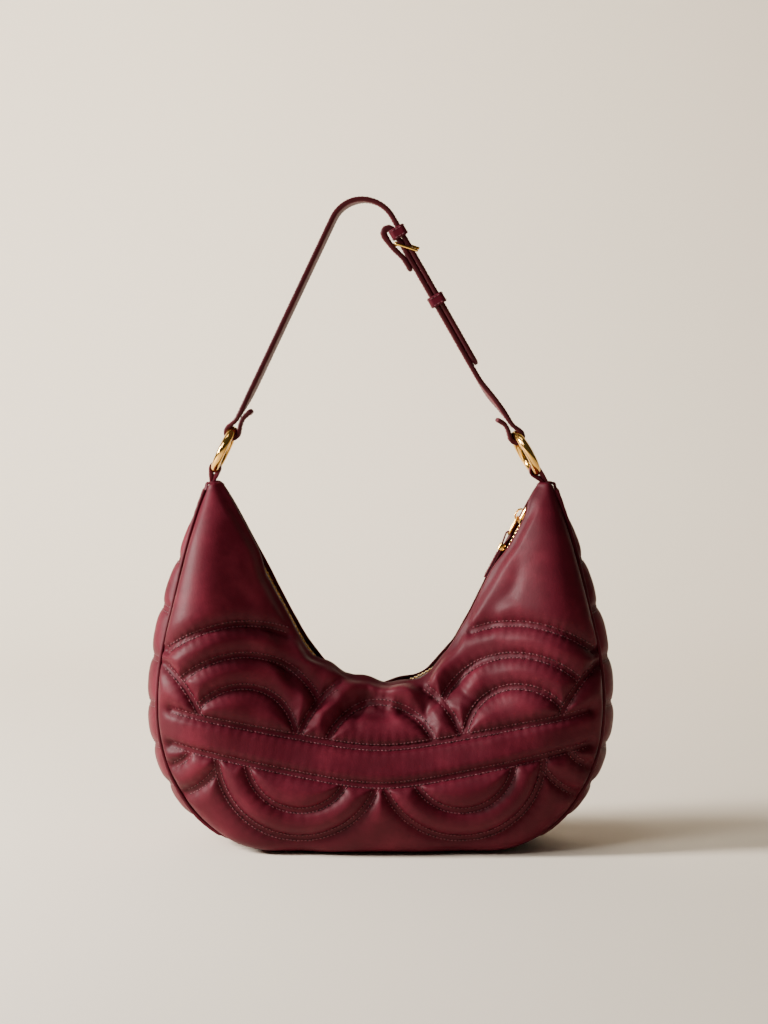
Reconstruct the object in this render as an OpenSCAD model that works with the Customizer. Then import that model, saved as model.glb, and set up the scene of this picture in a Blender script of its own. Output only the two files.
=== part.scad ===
// Crescent hobo bag in quilted leather, with a closed zip, two metal rings and a buckled shoulder strap.
// X runs across the bag, the front faces -Y and Z is up. The origin is under the middle of the flat base.

/* [Bag body] */
// Width of the bag across its widest point
bag_width = 340; // [320:1:360]
// Depth of the bag from belly to belly
bag_depth = 110; // [100:1:120]
// Height of the two horn tips
horn_height = 262; // [255:1:270]
// Height at which the bag is widest
widest_height = 108; // [100:1:115]
// Length of the part of the base that lies flat
base_length = 180; // [160:1:190]
// Half width of the gusset at the base
gusset_half = 31; // [28:1:33]

/* [Opening] */
// Height of the lowest point of the opening
sag_height = 118; // [112:1:124]
// Radius of the sagging middle of the opening
sag_radius = 63; // [58:1:68]
// Slope of the opening's straight sides, in degrees
horn_slope = 62; // [61:0.5:63]
// Half of the gap between the two panels along the zip
zip_gap_half = 9; // [8.5:0.5:10]

/* [Leather and layers] */
// Thickness of the outer leather
leather = 1.4; // [1.2:0.1:1.6]
// Thickness of the wadding behind the quilted leather
wadding = 4.6; // [4:0.1:5]
// Thickness of the lining
lining = 0.8; // [0.6:0.1:1]
// Radius of the piping along the seams
piping_r = 1.1; // [0.9:0.1:1.2]

/* [Strap] */
// Width of the strap
strap_width = 14; // [12:1:16]
// Thickness of the strap
strap_thick = 3.2; // [3:0.1:3.4]
// Radius of the strap's arch, at its middle line
arch_radius = 24; // [22:1:28]
// Slope of the strap's left run, in degrees
left_slope = 64.4; // [64:0.1:65]
// Slope of the strap's right run, in degrees
right_slope = 60.2; // [60:0.1:60.5]
// Space between one adjusting hole and the next
hole_pitch = 20; // [18:1:22]

/* [Metal parts] */
// Radius of each ring, at the middle of its wire
ring_r = 15.4; // [15:0.1:15.8]
// Radius of the ring's wire
ring_wire = 3; // [2.8:0.1:3.1]
// Radius of the buckle's bars
buckle_wire = 1.0; // [0.9:0.1:1.2]
// Space between one zip tooth and the next in a row
tooth_pitch = 3; // [2.8:0.1:3.2]

/* [Hidden] */

burgundy = "#6b1f2e";
dark_lining = "#3a1a22";
gold = "#d9a441";
foam = "#e8e0d0";

half_width = bag_width / 2;
base_thick = 2;
layer_gap = 0.3;
shell_z = base_thick + 0.4;      // height of the gusset's underside, just above the base panel
outer_end = [128, horn_height];  // where the outer outline ends, at the right horn's tip
flat_share = 0.228;              // share of the outline's length that lies flat
turn_share = 0.59;               // share of the outline's length at the widest point

// ---------- outline curves, for the right half, t = 0 at the middle and 1 at the horn's tip ----------

function smooth(x) = let (c = max(0, min(1, x))) c * c * (3 - 2 * c);
function bezier(a, b, c, d, t) =
    a * pow(1 - t, 3) + b * 3 * t * pow(1 - t, 2) + c * 3 * t * t * (1 - t) + d * pow(t, 3);

function outer(t) =
    t < flat_share
    ? [base_length / 2 * t / flat_share, shell_z]
    : t < turn_share
    ? bezier([base_length / 2, shell_z], [base_length / 2 + 50, shell_z],
             [half_width + 1, 48], [half_width, widest_height],
             (t - flat_share) / (turn_share - flat_share))
    : bezier([half_width, widest_height], [half_width - 1, widest_height + 52],
             [half_width - 18, widest_height + 92], outer_end,
             (t - turn_share) / (1 - turn_share));
function outer_normal(t) =
    let (d = outer(min(1, t + 0.004)) - outer(max(0, t - 0.004)))
    [d[1], -d[0]] / norm(d);

arc_length = sag_radius * horn_slope * PI / 180;
side_rise = horn_height - (sag_height + sag_radius - sag_radius * cos(horn_slope));
opening_length = arc_length + side_rise / sin(horn_slope);

// A point on the opening's line, at a length s from its lowest point, set back by depth into the bag
function opening_angle(s) = min(s / sag_radius * 180 / PI, horn_slope);
function opening_point(s, depth = 0) =
    let (a = opening_angle(s), rest = max(0, s - arc_length))
    [(sag_radius + depth) * sin(a) + rest * cos(a),
     sag_height + sag_radius - (sag_radius + depth) * cos(a) + rest * sin(a)];

function gusset_width(t) = 3 + (gusset_half - 3) * (1 - pow(t, 3.2));
function gusset_inset(t) = 3 + 6.5 * smooth((t - 0.2) / 0.25) - 7.5 * smooth((t - 0.75) / 0.25);
function zip_edge(t) = 3 + (zip_gap_half - 3) * (1 - pow(t, 12));
function bulge(t) = 2.5 + (bag_depth / 2 - 24.5) * (1 - pow(t, 2.4));
function layer_share(t) = min(1, gusset_width(t) / 25);

function seam(t) = outer(t) - gusset_inset(t) * outer_normal(t);
function span(t) = norm(opening_point(t * opening_length) - seam(t));

// A point of the front panel: u from -1 at the left tip to 1 at the right, v from 0 at the seam to 1 at the zip
function panel_point(u, v, depth) =
    let (t = abs(u),
         p = seam(t) + (opening_point(t * opening_length) - seam(t)) * v,
         y = gusset_width(t) * (1 - v) + zip_edge(t) * v + bulge(t) * sin(180 * pow(v, 0.75)))
    [sign(u) * p[0], -(y - depth), p[1]];

// A point of the gusset: w from -1 at the front seam to 1 at the back seam
function gusset_point(u, w, depth) =
    let (t = abs(u), n = outer_normal(t), p = outer(t) - (gusset_inset(t) * w * w + depth) * n)
    [sign(u) * p[0], gusset_width(t) * w, p[1]];

// ---------- shells between two grids of points ----------

function flat_list(rows) = [for (row = rows) for (p = row) p];
module shell(outside, inside) {
    rows = len(outside);
    cols = len(outside[0]);
    n = rows * cols;
    function at(i, j) = i * cols + j;
    polyhedron(
        points = concat(flat_list(outside), flat_list(inside)),
        faces = concat(
            [for (i = [0:rows - 2], j = [0:cols - 2]) [at(i, j), at(i + 1, j), at(i + 1, j + 1)]],
            [for (i = [0:rows - 2], j = [0:cols - 2]) [at(i, j), at(i + 1, j + 1), at(i, j + 1)]],
            [for (i = [0:rows - 2], j = [0:cols - 2]) [n + at(i, j), n + at(i + 1, j + 1), n + at(i + 1, j)]],
            [for (i = [0:rows - 2], j = [0:cols - 2]) [n + at(i, j), n + at(i, j + 1), n + at(i + 1, j + 1)]],
            [for (i = [0:rows - 2]) [at(i, 0), n + at(i, 0), n + at(i + 1, 0)]],
            [for (i = [0:rows - 2]) [at(i, 0), n + at(i + 1, 0), at(i + 1, 0)]],
            [for (i = [0:rows - 2]) [at(i, cols - 1), n + at(i + 1, cols - 1), n + at(i, cols - 1)]],
            [for (i = [0:rows - 2]) [at(i, cols - 1), at(i + 1, cols - 1), n + at(i + 1, cols - 1)]],
            [for (j = [0:cols - 2]) [at(0, j), n + at(0, j + 1), n + at(0, j)]],
            [for (j = [0:cols - 2]) [at(0, j), at(0, j + 1), n + at(0, j + 1)]],
            [for (j = [0:cols - 2]) [at(rows - 1, j), n + at(rows - 1, j), n + at(rows - 1, j + 1)]],
            [for (j = [0:cols - 2]) [at(rows - 1, j), n + at(rows - 1, j + 1), at(rows - 1, j + 1)]]
        ));
}

// The panels' layers share one set of grid lines, so that they never cross: steps from the middle to each tip,
// and columns from the seam to the zip. A layer covers the steps from -reach to reach, and some of the columns.
panel_steps = 28;
panel_columns = 10;
gusset_columns = 6;
function line_u(i) = (i + 0.001) / (panel_steps + 0.001);
function thinned(u, depth) = first_layer + (depth - first_layer) * layer_share(abs(u));
module panel_layer(depth, thick, reach, first, last) {
    function line_v(u, j) = let (a = 1.6 / span(abs(u))) a + (1 - a) * j / panel_columns;
    function rows_at(d) =
        [for (i = [-reach:reach]) let (u = line_u(i), set_in = d < first_layer ? d : thinned(u, d))
            [for (j = [first:last]) panel_point(u, line_v(u, j), set_in)]];
    shell(rows_at(depth), rows_at(depth + thick));
}
module gusset_layer(depth, thick, reach, first, last) {
    function line_w(u, j) = (1 - 1.5 / gusset_width(abs(u))) * (2 * j / gusset_columns - 1);
    function rows_at(d) =
        [for (i = [-reach:reach]) let (u = line_u(i), set_in = d < first_layer ? d : thinned(u, d))
            [for (j = [first:last]) gusset_point(u, line_w(u, j), set_in)]];
    shell(rows_at(depth), rows_at(depth + thick));
}

module rear() { mirror([0, 1, 0]) children(); }

// ---------- leather body ----------

module front_panel() { color(burgundy) panel_layer(0, leather, panel_steps, 0, panel_columns); }
module back_panel() { color(burgundy) rear() panel_layer(0, leather, panel_steps, 0, panel_columns); }
module gusset() { color(burgundy) gusset_layer(0, leather, panel_steps, 0, gusset_columns); }

// The base: a flat sewn-on leather panel with round ends, and a loose board on the lining
module rounded_plate(length, width, corner, thick) {
    linear_extrude(thick) difference() {
        square([length, width], center = true);
        for (sx = [-1, 1], sy = [-1, 1])
            translate([sx * length / 2, sy * width / 2]) difference() {
                square(corner * 2, center = true);
                translate([-sx * corner, -sy * corner]) circle(corner, $fn = 48);
            }
    }
}
module base_panel() { color(burgundy) rounded_plate(base_length + 8, 2 * gusset_half - 6, 20, base_thick); }
module base_board() {
    color(dark_lining) translate([0, 0, shell_z + 8]) rounded_plate(base_length - 16, 36, 12, 2);
}

first_layer = leather + layer_gap;
second_layer = first_layer + wadding + layer_gap;
third_layer = second_layer + lining + layer_gap;

layer_reach = 24;
module front_padding() { color(foam) panel_layer(first_layer, wadding, layer_reach, 1, 9); }
module back_padding() { color(foam) rear() panel_layer(first_layer, wadding, layer_reach, 1, 9); }
module lining_front() { color(dark_lining) panel_layer(second_layer, lining, layer_reach, 1, 9); }
module lining_back() { color(dark_lining) rear() panel_layer(second_layer, lining, layer_reach, 1, 9); }
module gusset_padding() { color(foam) gusset_layer(first_layer, 3, layer_reach, 1, 5); }
module lining_gusset() { color(dark_lining) gusset_layer(first_layer + 3.3, lining, layer_reach, 1, 5); }
module inner_pocket() { color(dark_lining) rear() panel_layer(third_layer, lining, 7, 3, 7); }

// Piping: a thin cord swept along the seam, between the panel's edge and the gusset's edge
piping_sides = 6;
piping_steps = 36;
function piping_middle(u) =
    let (t = abs(u), p = seam(t)) [sign(u) * p[0], -gusset_width(t), p[1]];
function piping_ring(u) =
    let (c = piping_middle(u),
         d = piping_middle(min(1, u + 0.004)) - piping_middle(max(-1, u - 0.004)),
         n = outer_normal(abs(u)),
         a = [sign(u) * n[0], 0, n[1]],
         b = cross(d / norm(d), a))
    [for (k = [0:piping_sides - 1])
        c + piping_r * (cos(360 * k / piping_sides) * a + sin(360 * k / piping_sides) * b)];
module piping() {
    rings = [for (i = [-piping_steps:piping_steps])
        piping_ring(0.995 * (i + 0.001) / (piping_steps + 0.001))];
    count = len(rings);
    m = piping_sides;
    polyhedron(
        points = flat_list(rings),
        faces = concat(
            [for (i = [0:count - 2], k = [0:m - 1])
                [i * m + k, (i + 1) * m + k, (i + 1) * m + (k + 1) % m]],
            [for (i = [0:count - 2], k = [0:m - 1])
                [i * m + k, (i + 1) * m + (k + 1) % m, i * m + (k + 1) % m]],
            [[for (k = [0:m - 1]) k]],
            [[for (k = [m - 1:-1:0]) (count - 1) * m + k]]));
}
module front_piping() { color(burgundy) piping(); }
module back_piping() { color(burgundy) rear() piping(); }

// ---------- zip ----------

zip_recess = 2.5;                  // the tape's depth under the panels' edges
tape_thick = 0.7;
tape_inner = 2.7;
tape_outer = 7.6;
tape_end = opening_length - 14;
slider_at = opening_length - 24;
slider_length = 13;
tooth_size = [1.3, 2.1, 2.4];      // along the zip, across it, and through the tape
tooth_gap = 0.6;                   // from the middle of the zip to each row, for the slider's post

// Draws the children at a length s along the zip: X along it, Y across it and Z towards the opening
module on_zip(s) {
    a = opening_angle(abs(s)) * sign(s);
    p = opening_point(abs(s), zip_recess);
    translate([sign(s) * p[0], 0, p[1]]) rotate([0, -a, 0]) children();
}

// Draws a 2D shape in the XZ plane and extrudes it to a width centred on Y = 0
module across(width) { rotate([90, 0, 0]) linear_extrude(width, center = true) children(); }

// The tape narrows towards the tips, where it has to stay between the panels' edges
module tape_side() {
    steps = 36;
    function tape_rows(d) =
        [for (i = [-steps:steps])
            let (s = tape_end * (i == 0 ? 0.0001 : i / steps), p = opening_point(abs(s), d),
                 edge = min(tape_outer, zip_edge(abs(s) / opening_length) - leather - 0.15))
                [for (y = [-edge, -tape_inner]) [sign(s) * p[0], y, p[1]]]];
    shell(tape_rows(zip_recess - tape_thick / 2), tape_rows(zip_recess + tape_thick / 2));
}
module zip_tape_front() { color(dark_lining) tape_side(); }
module zip_tape_back() { color(dark_lining) rear() tape_side(); }

teeth_top = slider_at - 2.5;
teeth_bottom = -(opening_length - 22);
tooth_count = floor((teeth_top - teeth_bottom) / tooth_pitch);
module teeth(shift, side) {
    for (k = [0:tooth_count - 1])
        on_zip(teeth_bottom + 0.001 + k * tooth_pitch + shift)
            translate([0, side * (tooth_size[1] / 2 + tooth_gap), 0]) cube(tooth_size, center = true);
}
module zip_teeth_front() { color(gold) teeth(0, -1); }
module zip_teeth_back() { color(gold) teeth(tooth_pitch / 2, 1); }

module zip_top_stops() {
    color(gold) for (side = [-1, 1])
        on_zip(tape_end - 2) translate([0, side * 3.4, 0]) difference() {
            cube([2.4, 2.4, 2.6], center = true);
            translate([0, side * 0.4, 0]) cube([3, 2.4, tape_thick + 0.3], center = true);
        }
}
module zip_bottom_stop() {
    color(gold) on_zip(teeth_bottom - 3.2) difference() {
        cube([3, 8.4, 2.8], center = true);
        for (side = [-1, 1]) translate([0, side * 3.6, 0]) cube([4, 2, tape_thick + 0.3], center = true);
    }
}

plate_half = 5.4;
module zip_slider() {
    color(gold) on_zip(slider_at) union() {
        for (side = [-1, 1]) {
            translate([0, 0, side * 2.4]) cube([slider_length, 2 * plate_half, 1.4], center = true);
            for (edge = [-1, 1])
                translate([0, edge * (plate_half - 0.5), side * 1.25])
                    cube([slider_length, 1, 1.3], center = true);
        }
        translate([slider_length / 2 - 2, 0, 0]) cube([4, 1, 4], center = true);
        for (along = [-4.6, 3.4]) translate([along, 0, 4.6]) cube([1.2, 2.4, 3.6], center = true);
        translate([-0.6, 0, 7]) cube([9.2, 2.4, 1.4], center = true);
    }
}

pull_axis = [-2.6, 0, 4.7];        // the pull's hinge on the slider, in the zip's own axes
link_length = 16;
link_width = 8;
link_wire = 1.4;
module long_hole(length, width) {
    square([length - width, width], center = true);
    for (side = [-1, 1]) translate([side * (length - width) / 2, 0]) circle(d = width, $fn = 32);
}
module zip_pull_link() {
    color(gold) on_zip(slider_at) translate(pull_axis)
        translate([-link_length / 2 + link_wire / 2, 0, 0])
            linear_extrude(link_wire, center = true) difference() {
                long_hole(link_length, link_width);
                long_hole(link_length - 2 * link_wire, link_width - 2 * link_wire);
            }
}
tab_axis_x = pull_axis[0] - link_length + link_wire; // the middle of the link's far end
pull_thick = 1.1;
pull_loop = 1.8;                   // radius inside the leather loop round the link
pull_length = 36;
module zip_pull_tab() {
    outside = pull_loop + pull_thick;
    tail = outside - 0.6;
    color(burgundy) on_zip(slider_at) translate([tab_axis_x, 0, pull_axis[2]]) union() {
        across(4.2) difference() {
            union() {
                circle(outside, $fn = 32);
                polygon([[0, outside], [-9, tail / 2], [-pull_length, tail / 2],
                         [-pull_length, -tail / 2], [-9, -tail / 2], [0, -outside]]);
            }
            circle(pull_loop, $fn = 32);
            polygon([[0, pull_loop], [-5, 0.15], [-5, -0.15], [0, -pull_loop]]);
        }
    }
}
module zip_pull_collar() {
    color(gold) on_zip(slider_at) translate([tab_axis_x - 10.5, 0, pull_axis[2]]) difference() {
        cube([5, 7.4, 5], center = true);
        cube([6, 5, 2.7], center = true);
    }
}

// ---------- strap, rings and buckle ----------

strap_gap = 0.8;                   // gap between the long strap and the buckle strap beside it
run_start = [8.5, 456.7];          // where the strap's right run leaves the arch, on its middle line
run_dir = [cos(right_slope), -sin(right_slope)];
run_out = [sin(right_slope), cos(right_slope)];
function on_run(s, n = 0) = run_start + s * run_dir + n * run_out;
inner_line = -(strap_thick + strap_gap);

arch_turn = left_slope + right_slope;
arch_middle = run_start - arch_radius * run_out;
function arch_point(a) = arch_middle + arch_radius * [sin(a), cos(a)];
rise_dir = [cos(left_slope), sin(left_slope)];
rise_out = [-sin(left_slope), cos(left_slope)];
arch_start = arch_point(-left_slope);

left_ring_at = [-113.6, 288.4];
right_ring_at = [105.4, 285.6];
right_ring_slope = 61;
right_ring_dir = [cos(right_ring_slope), -sin(right_ring_slope)];
right_ring_out = [sin(right_ring_slope), cos(right_ring_slope)];
left_wire_at = left_ring_at + ring_r * rise_dir;
right_wire_at = right_ring_at - ring_r * right_ring_dir;
fold_gap = 1.3;                    // room round the wire inside a fold, for the wire's own curve
fold_shift = 1.0;                  // how far a fold's centre lies inside the wire's middle
fold_r = ring_wire + fold_gap + strap_thick / 2;
right_fold_r = fold_r + 0.5;       // more room, because the right ring is turned further

// The outline of a band of a given thickness along a list of points
function band_normal(pts, i) =
    let (d = pts[min(i + 1, len(pts) - 1)] - pts[max(i - 1, 0)]) [-d[1], d[0]] / norm(d);
function band(pts, thick) = concat(
    [for (i = [0:len(pts) - 1]) pts[i] + band_normal(pts, i) * thick / 2],
    [for (i = [len(pts) - 1:-1:0]) pts[i] - band_normal(pts, i) * thick / 2]);
function curve_points(a, b, c, d, steps) = [for (i = [1:steps]) bezier(a, b, c, d, i / steps)];

// Long strap: its folded end, round the left ring, up to the arch, over it and down the right run
left_bend = left_wire_at + 18 * rise_dir;
function left_loop(a) =
    left_wire_at - fold_shift * rise_dir + fold_r * (cos(a) * rise_out - sin(a) * rise_dir);
function by_left_wire(s, n) = left_wire_at + s * rise_dir + n * rise_out;
tail_length = 123;
long_strap_line = concat(
    [by_left_wire(20, -6), by_left_wire(15, -4.9)],
    curve_points(by_left_wire(15, -4.9), by_left_wire(11, -4), by_left_wire(6, -5.9), left_loop(180), 8),
    [for (a = [165:-15:0]) left_loop(a)],
    curve_points(left_loop(0), left_loop(0) + 8 * rise_dir, left_bend - 9 * rise_dir, left_bend, 6),
    [for (k = [1:3]) left_bend + (arch_start - left_bend) * k / 3],
    [for (a = [-left_slope + 6:6:right_slope - 3]) arch_point(a)],
    [for (k = [0:4]) on_run(tail_length * k / 4)]);

prong_from = [18.4, -7.4];         // heel bar of the buckle: along the run, and out from it
prong_to = [30, 3.2];              // far bar of the buckle
module oval_cut(from, to, n, width) {
    translate([on_run((from + to) / 2, n)[0], 0, on_run((from + to) / 2, n)[1]])
        rotate([0, right_slope, 0]) linear_extrude(8, center = true) long_hole(to - from, width);
}
module long_strap() {
    color(burgundy) difference() {
        across(strap_width) polygon(band(long_strap_line, strap_thick));
        oval_cut(17.4, 28, 0, 3.4);
        for (k = [1:3]) oval_cut(25 + k * hole_pitch + 17, 29 + k * hole_pitch + 17, 0, 2.6);
    }
}

// Buckle strap: its folded end, round the heel bar, down the run and round the right ring
heel_loop_r = 4.4;
heel_loop_at = on_run(9, inner_line - heel_loop_r);
function heel_loop(a) = heel_loop_at + heel_loop_r * (cos(a) * run_out - sin(a) * run_dir);
right_bend = on_run(160, inner_line);
function right_loop(a) =
    right_wire_at + fold_shift * right_ring_dir
    + right_fold_r * (cos(a) * right_ring_out + sin(a) * right_ring_dir);
function by_right_wire(s, n) = right_wire_at - s * right_ring_dir + n * right_ring_out;
buckle_strap_line = concat(
    [on_run(41, inner_line - strap_thick - 0.3), on_run(32, inner_line - strap_thick - 0.3)],
    curve_points(on_run(32, inner_line - strap_thick - 0.3), on_run(27, inner_line - strap_thick - 0.3),
                 heel_loop(180) + 13 * run_dir, heel_loop(180), 8),
    [for (a = [165:-15:0]) heel_loop(a)],
    [for (k = [1:5]) heel_loop(0) + (right_bend - heel_loop(0)) * k / 5],
    curve_points(right_bend, right_bend + 9 * run_dir, right_loop(0) - 8 * right_ring_dir, right_loop(0), 6),
    [for (a = [15:15:180]) right_loop(a)],
    curve_points(right_loop(180), by_right_wire(6, -6.6), by_right_wire(9, -6), by_right_wire(12, -7.2), 8),
    [by_right_wire(17, -8.8)]);
module buckle_strap() {
    color(burgundy) difference() {
        across(strap_width) polygon(band(buckle_strap_line, strap_thick));
        oval_cut(14, 27, inner_line, 3.4);
    }
}

// Buckle: two bars along Y joined by two sloping sides, with a prong that turns on the heel bar
frame_half = strap_width / 2 + 0.5 + buckle_wire;
module bar_between(a, b, y, r) {
    p = on_run(a[0], a[1]);
    q = on_run(b[0], b[1]);
    translate([p[0], y, p[1]]) rotate([0, atan2(q[0] - p[0], q[1] - p[1]), 0])
        cylinder(h = norm(q - p), r = r, $fn = 24);
}
module cross_bar(at, half, r) {
    p = on_run(at[0], at[1]);
    translate([p[0], 0, p[1]]) rotate([90, 0, 0]) cylinder(h = 2 * half, r = r, center = true, $fn = 32);
}
module buckle_frame() {
    color(gold) union() {
        cross_bar(prong_from, frame_half, buckle_wire);
        cross_bar(prong_to, frame_half, buckle_wire);
        for (side = [-1, 1]) {
            bar_between(prong_from, prong_to, side * frame_half, buckle_wire);
            for (end = [prong_from, prong_to]) {
                p = on_run(end[0], end[1]);
                translate([p[0], side * frame_half, p[1]]) sphere(buckle_wire + 0.02, $fn = 24);
            }
        }
    }
}
prong_r = 1;
module buckle_prong() {
    slope = (prong_to - prong_from) / norm(prong_to - prong_from);
    lift = [-slope[1], slope[0]] * (buckle_wire + prong_r + 0.08);
    color(gold) difference() {
        union() {
            cross_bar(prong_from, 1.2, buckle_wire + 0.8);
            bar_between(prong_from + lift, prong_to + lift + 1.4 * slope, 0, prong_r);
        }
        cross_bar(prong_from, 3, buckle_wire + 0.06);
    }
}

keeper_thick = 1.4;
keeper_length = 8;
module keeper(s, inside, outside) {
    p = on_run(s, (inside + outside) / 2);
    color(burgundy) translate([p[0], 0, p[1]]) rotate([0, right_slope, 0]) difference() {
        cube([keeper_length, strap_width + 3.6, outside - inside + 2 * keeper_thick], center = true);
        cube([keeper_length + 1, strap_width + 0.8, outside - inside], center = true);
    }
}
stack_inside = inner_line - strap_thick / 2 - 0.35;
stack_outside = strap_thick / 2 + 0.35;
module fixed_keeper() { keeper(11.8, stack_inside, stack_outside); }
module sliding_keeper() { keeper(68, stack_inside, stack_outside); }

// Each ring is turned a little about the strap's line, so that its near side leans outwards
module ring(at, slope, turn) {
    translate([at[0], 0, at[1]]) rotate([0, -slope, 0]) rotate([-turn, 0, 0])
        color(gold) rotate_extrude($fn = 96) translate([ring_r, 0]) circle(ring_wire, $fn = 48);
}
module left_ring() { ring(left_ring_at, left_slope, 3); }
module right_ring() { ring(right_ring_at, -right_ring_slope, 8); }

// Ring tabs: leather teardrops round the rings' lower wires, narrowing to the horns' tips
tab_thick = 2;
tab_in = ring_wire + 1.1;
tab_shift = 0.6;                   // how far a tab's loop is centred inside the wire's middle
tab_out = tab_in + tab_thick;
tab_width = 10;
hinge_height = horn_height + 4.5;
tab_root_half = 2.6;
function toward(p, q, r, side) =
    let (d = q - p, l = norm(d), a = acos(r / l), b = atan2(d[1], d[0]) + side * a)
    p + r * [cos(b), sin(b)];
function round_top(p, q, r, steps) =
    let (d = q - p, l = norm(d), a = acos(r / l), b = atan2(d[1], d[0]))
    [for (i = [0:steps]) let (c = b + a + (360 - 2 * a) * i / steps) p + r * [cos(c), sin(c)]];
module ring_tab(wire, root) {
    color(burgundy) difference() {
        across(tab_width) difference() {
            polygon(concat(round_top(wire, root, tab_out, 24), [root - [2.2, 0], root + [2.2, 0]]));
            polygon(concat(round_top(wire, root, tab_in, 24), [root + (wire - root) * 0.42]));
        }
        for (side = [-1, 1])
            translate([root[0], side * (tab_root_half + 10), root[1] - 1]) rotate([-side * 28, 0, 0])
                translate([0, 0, -8]) cube([40, 20, 26], center = true);
    }
}
left_wire_low = left_ring_at - (ring_r - tab_shift) * rise_dir;
right_wire_low = right_ring_at + (ring_r - tab_shift) * right_ring_dir;
tip_x = (opening_point(opening_length)[0] + outer_end[0]) / 2;
root_z = hinge_height - 2.4;
module left_ring_tab() { ring_tab(left_wire_low, [-tip_x, root_z]); }
module right_ring_tab() { ring_tab(right_wire_low, [tip_x - 2, root_z]); }

module tab_anchor(side) {
    color(burgundy) translate([side * tip_x, 0, horn_height - 8]) rotate([0, -side * 4, 0])
        cube([6.5, 2.2, 13], center = true);
}
module left_tab_anchor() { tab_anchor(-1); }
module right_tab_anchor() { tab_anchor(1); }

front_panel();
back_panel();
gusset();
base_panel();
base_board();
front_padding();
back_padding();
gusset_padding();
lining_front();
lining_back();
lining_gusset();
inner_pocket();
front_piping();
back_piping();
zip_tape_front();
zip_tape_back();
zip_teeth_front();
zip_teeth_back();
zip_top_stops();
zip_bottom_stop();
left_tab_anchor();
right_tab_anchor();
left_ring_tab();
right_ring_tab();
long_strap();
buckle_strap();
buckle_frame();
fixed_keeper();
left_ring();
right_ring();
buckle_prong();
sliding_keeper();
zip_slider();
zip_pull_link();
zip_pull_collar();
zip_pull_tab();
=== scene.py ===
"""Looks of the crescent hobo bag: padded and quilted leather, a closed zip, gold rings and a buckled strap.

Lengths are in millimetres up to the moment a mesh is made. The bag faces -Y, X runs across it, Z is up.
The outline formulas are those of the CAD model, so every leather piece lies where its CAD solid lies.
"""
import math

import bpy
import numpy as np
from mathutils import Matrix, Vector, kdtree, noise


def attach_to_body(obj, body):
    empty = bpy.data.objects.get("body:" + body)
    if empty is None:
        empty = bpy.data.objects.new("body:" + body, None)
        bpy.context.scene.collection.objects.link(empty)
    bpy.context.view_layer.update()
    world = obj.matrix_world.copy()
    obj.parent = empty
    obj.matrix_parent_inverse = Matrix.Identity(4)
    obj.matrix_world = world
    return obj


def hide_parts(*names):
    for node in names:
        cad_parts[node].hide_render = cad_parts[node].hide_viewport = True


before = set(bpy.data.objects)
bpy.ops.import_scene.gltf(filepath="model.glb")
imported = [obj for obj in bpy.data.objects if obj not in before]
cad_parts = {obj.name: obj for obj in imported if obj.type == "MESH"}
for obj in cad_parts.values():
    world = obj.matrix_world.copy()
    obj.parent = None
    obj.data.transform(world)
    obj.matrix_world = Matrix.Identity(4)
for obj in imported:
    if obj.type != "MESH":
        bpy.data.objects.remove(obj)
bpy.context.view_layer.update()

MM = 0.001
TAU = 2 * math.pi

# ---------- the bag's outline, as in the CAD model ----------

HALF_WIDTH = 170.0
BAG_DEPTH = 110.0
HORN = 262.0
WIDEST = 108.0
BASE_HALF = 90.0
SHELL_Z = 2.4
GUSSET_HALF = 31.0
TIP_HALF = 3.0                     # half the depth at the tips of the horns
SAG = 118.0
SAG_RADIUS = 63.0
SLOPE = math.radians(62)
ZIP_GAP = 9.0
OUTER_END = (128.0, HORN)
FLAT_SHARE = 0.228
TURN_SHARE = 0.59
ARC = SAG_RADIUS * SLOPE
SIDE_RISE = HORN - (SAG + SAG_RADIUS - SAG_RADIUS * math.cos(SLOPE))
OPENING = ARC + SIDE_RISE / math.sin(SLOPE)


def smooth(x):
    c = np.clip(x, 0, 1)
    return c * c * (3 - 2 * c)


def dome(x):
    """A quarter circle's height: 0 at x = 0, and 1 from x = 1 on."""
    return np.sqrt(np.clip(1 - (1 - x) ** 2, 0, 1))


def unit(vectors):
    return vectors / np.linalg.norm(vectors, axis=-1, keepdims=True)


def arc_lengths(path):
    """The length along a line of points, at each of its points."""
    return np.concatenate([[0], np.cumsum(np.linalg.norm(np.diff(path, axis=0), axis=1))])


def bezier(a, b, c, d, t):
    a, b, c, d = (np.array(p, float) for p in (a, b, c, d))
    t = np.asarray(t, float)[..., None]
    return a * (1 - t) ** 3 + b * 3 * t * (1 - t) ** 2 + c * 3 * t * t * (1 - t) + d * t ** 3


def outer(t):
    """The outermost line of the gusset, in the right half: t is 0 at the middle of the base, 1 at the horn."""
    t = np.asarray(t, float)
    flat = np.stack([BASE_HALF * t / FLAT_SHARE, np.full_like(t, SHELL_Z)], -1)
    low = bezier([BASE_HALF, SHELL_Z], [BASE_HALF + 50, SHELL_Z], [HALF_WIDTH + 1, 48], [HALF_WIDTH, WIDEST],
                 (t - FLAT_SHARE) / (TURN_SHARE - FLAT_SHARE))
    high = bezier([HALF_WIDTH, WIDEST], [HALF_WIDTH - 1, WIDEST + 52], [HALF_WIDTH - 18, WIDEST + 92], OUTER_END,
                  (t - TURN_SHARE) / (1 - TURN_SHARE))
    t = t[..., None]
    return np.where(t < FLAT_SHARE, flat, np.where(t < TURN_SHARE, low, high))


def outer_normal(t):
    t = np.asarray(t, float)
    d = outer(np.minimum(1, t + 0.004)) - outer(np.maximum(0, t - 0.004))
    return unit(np.stack([d[..., 1], -d[..., 0]], -1))


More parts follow.
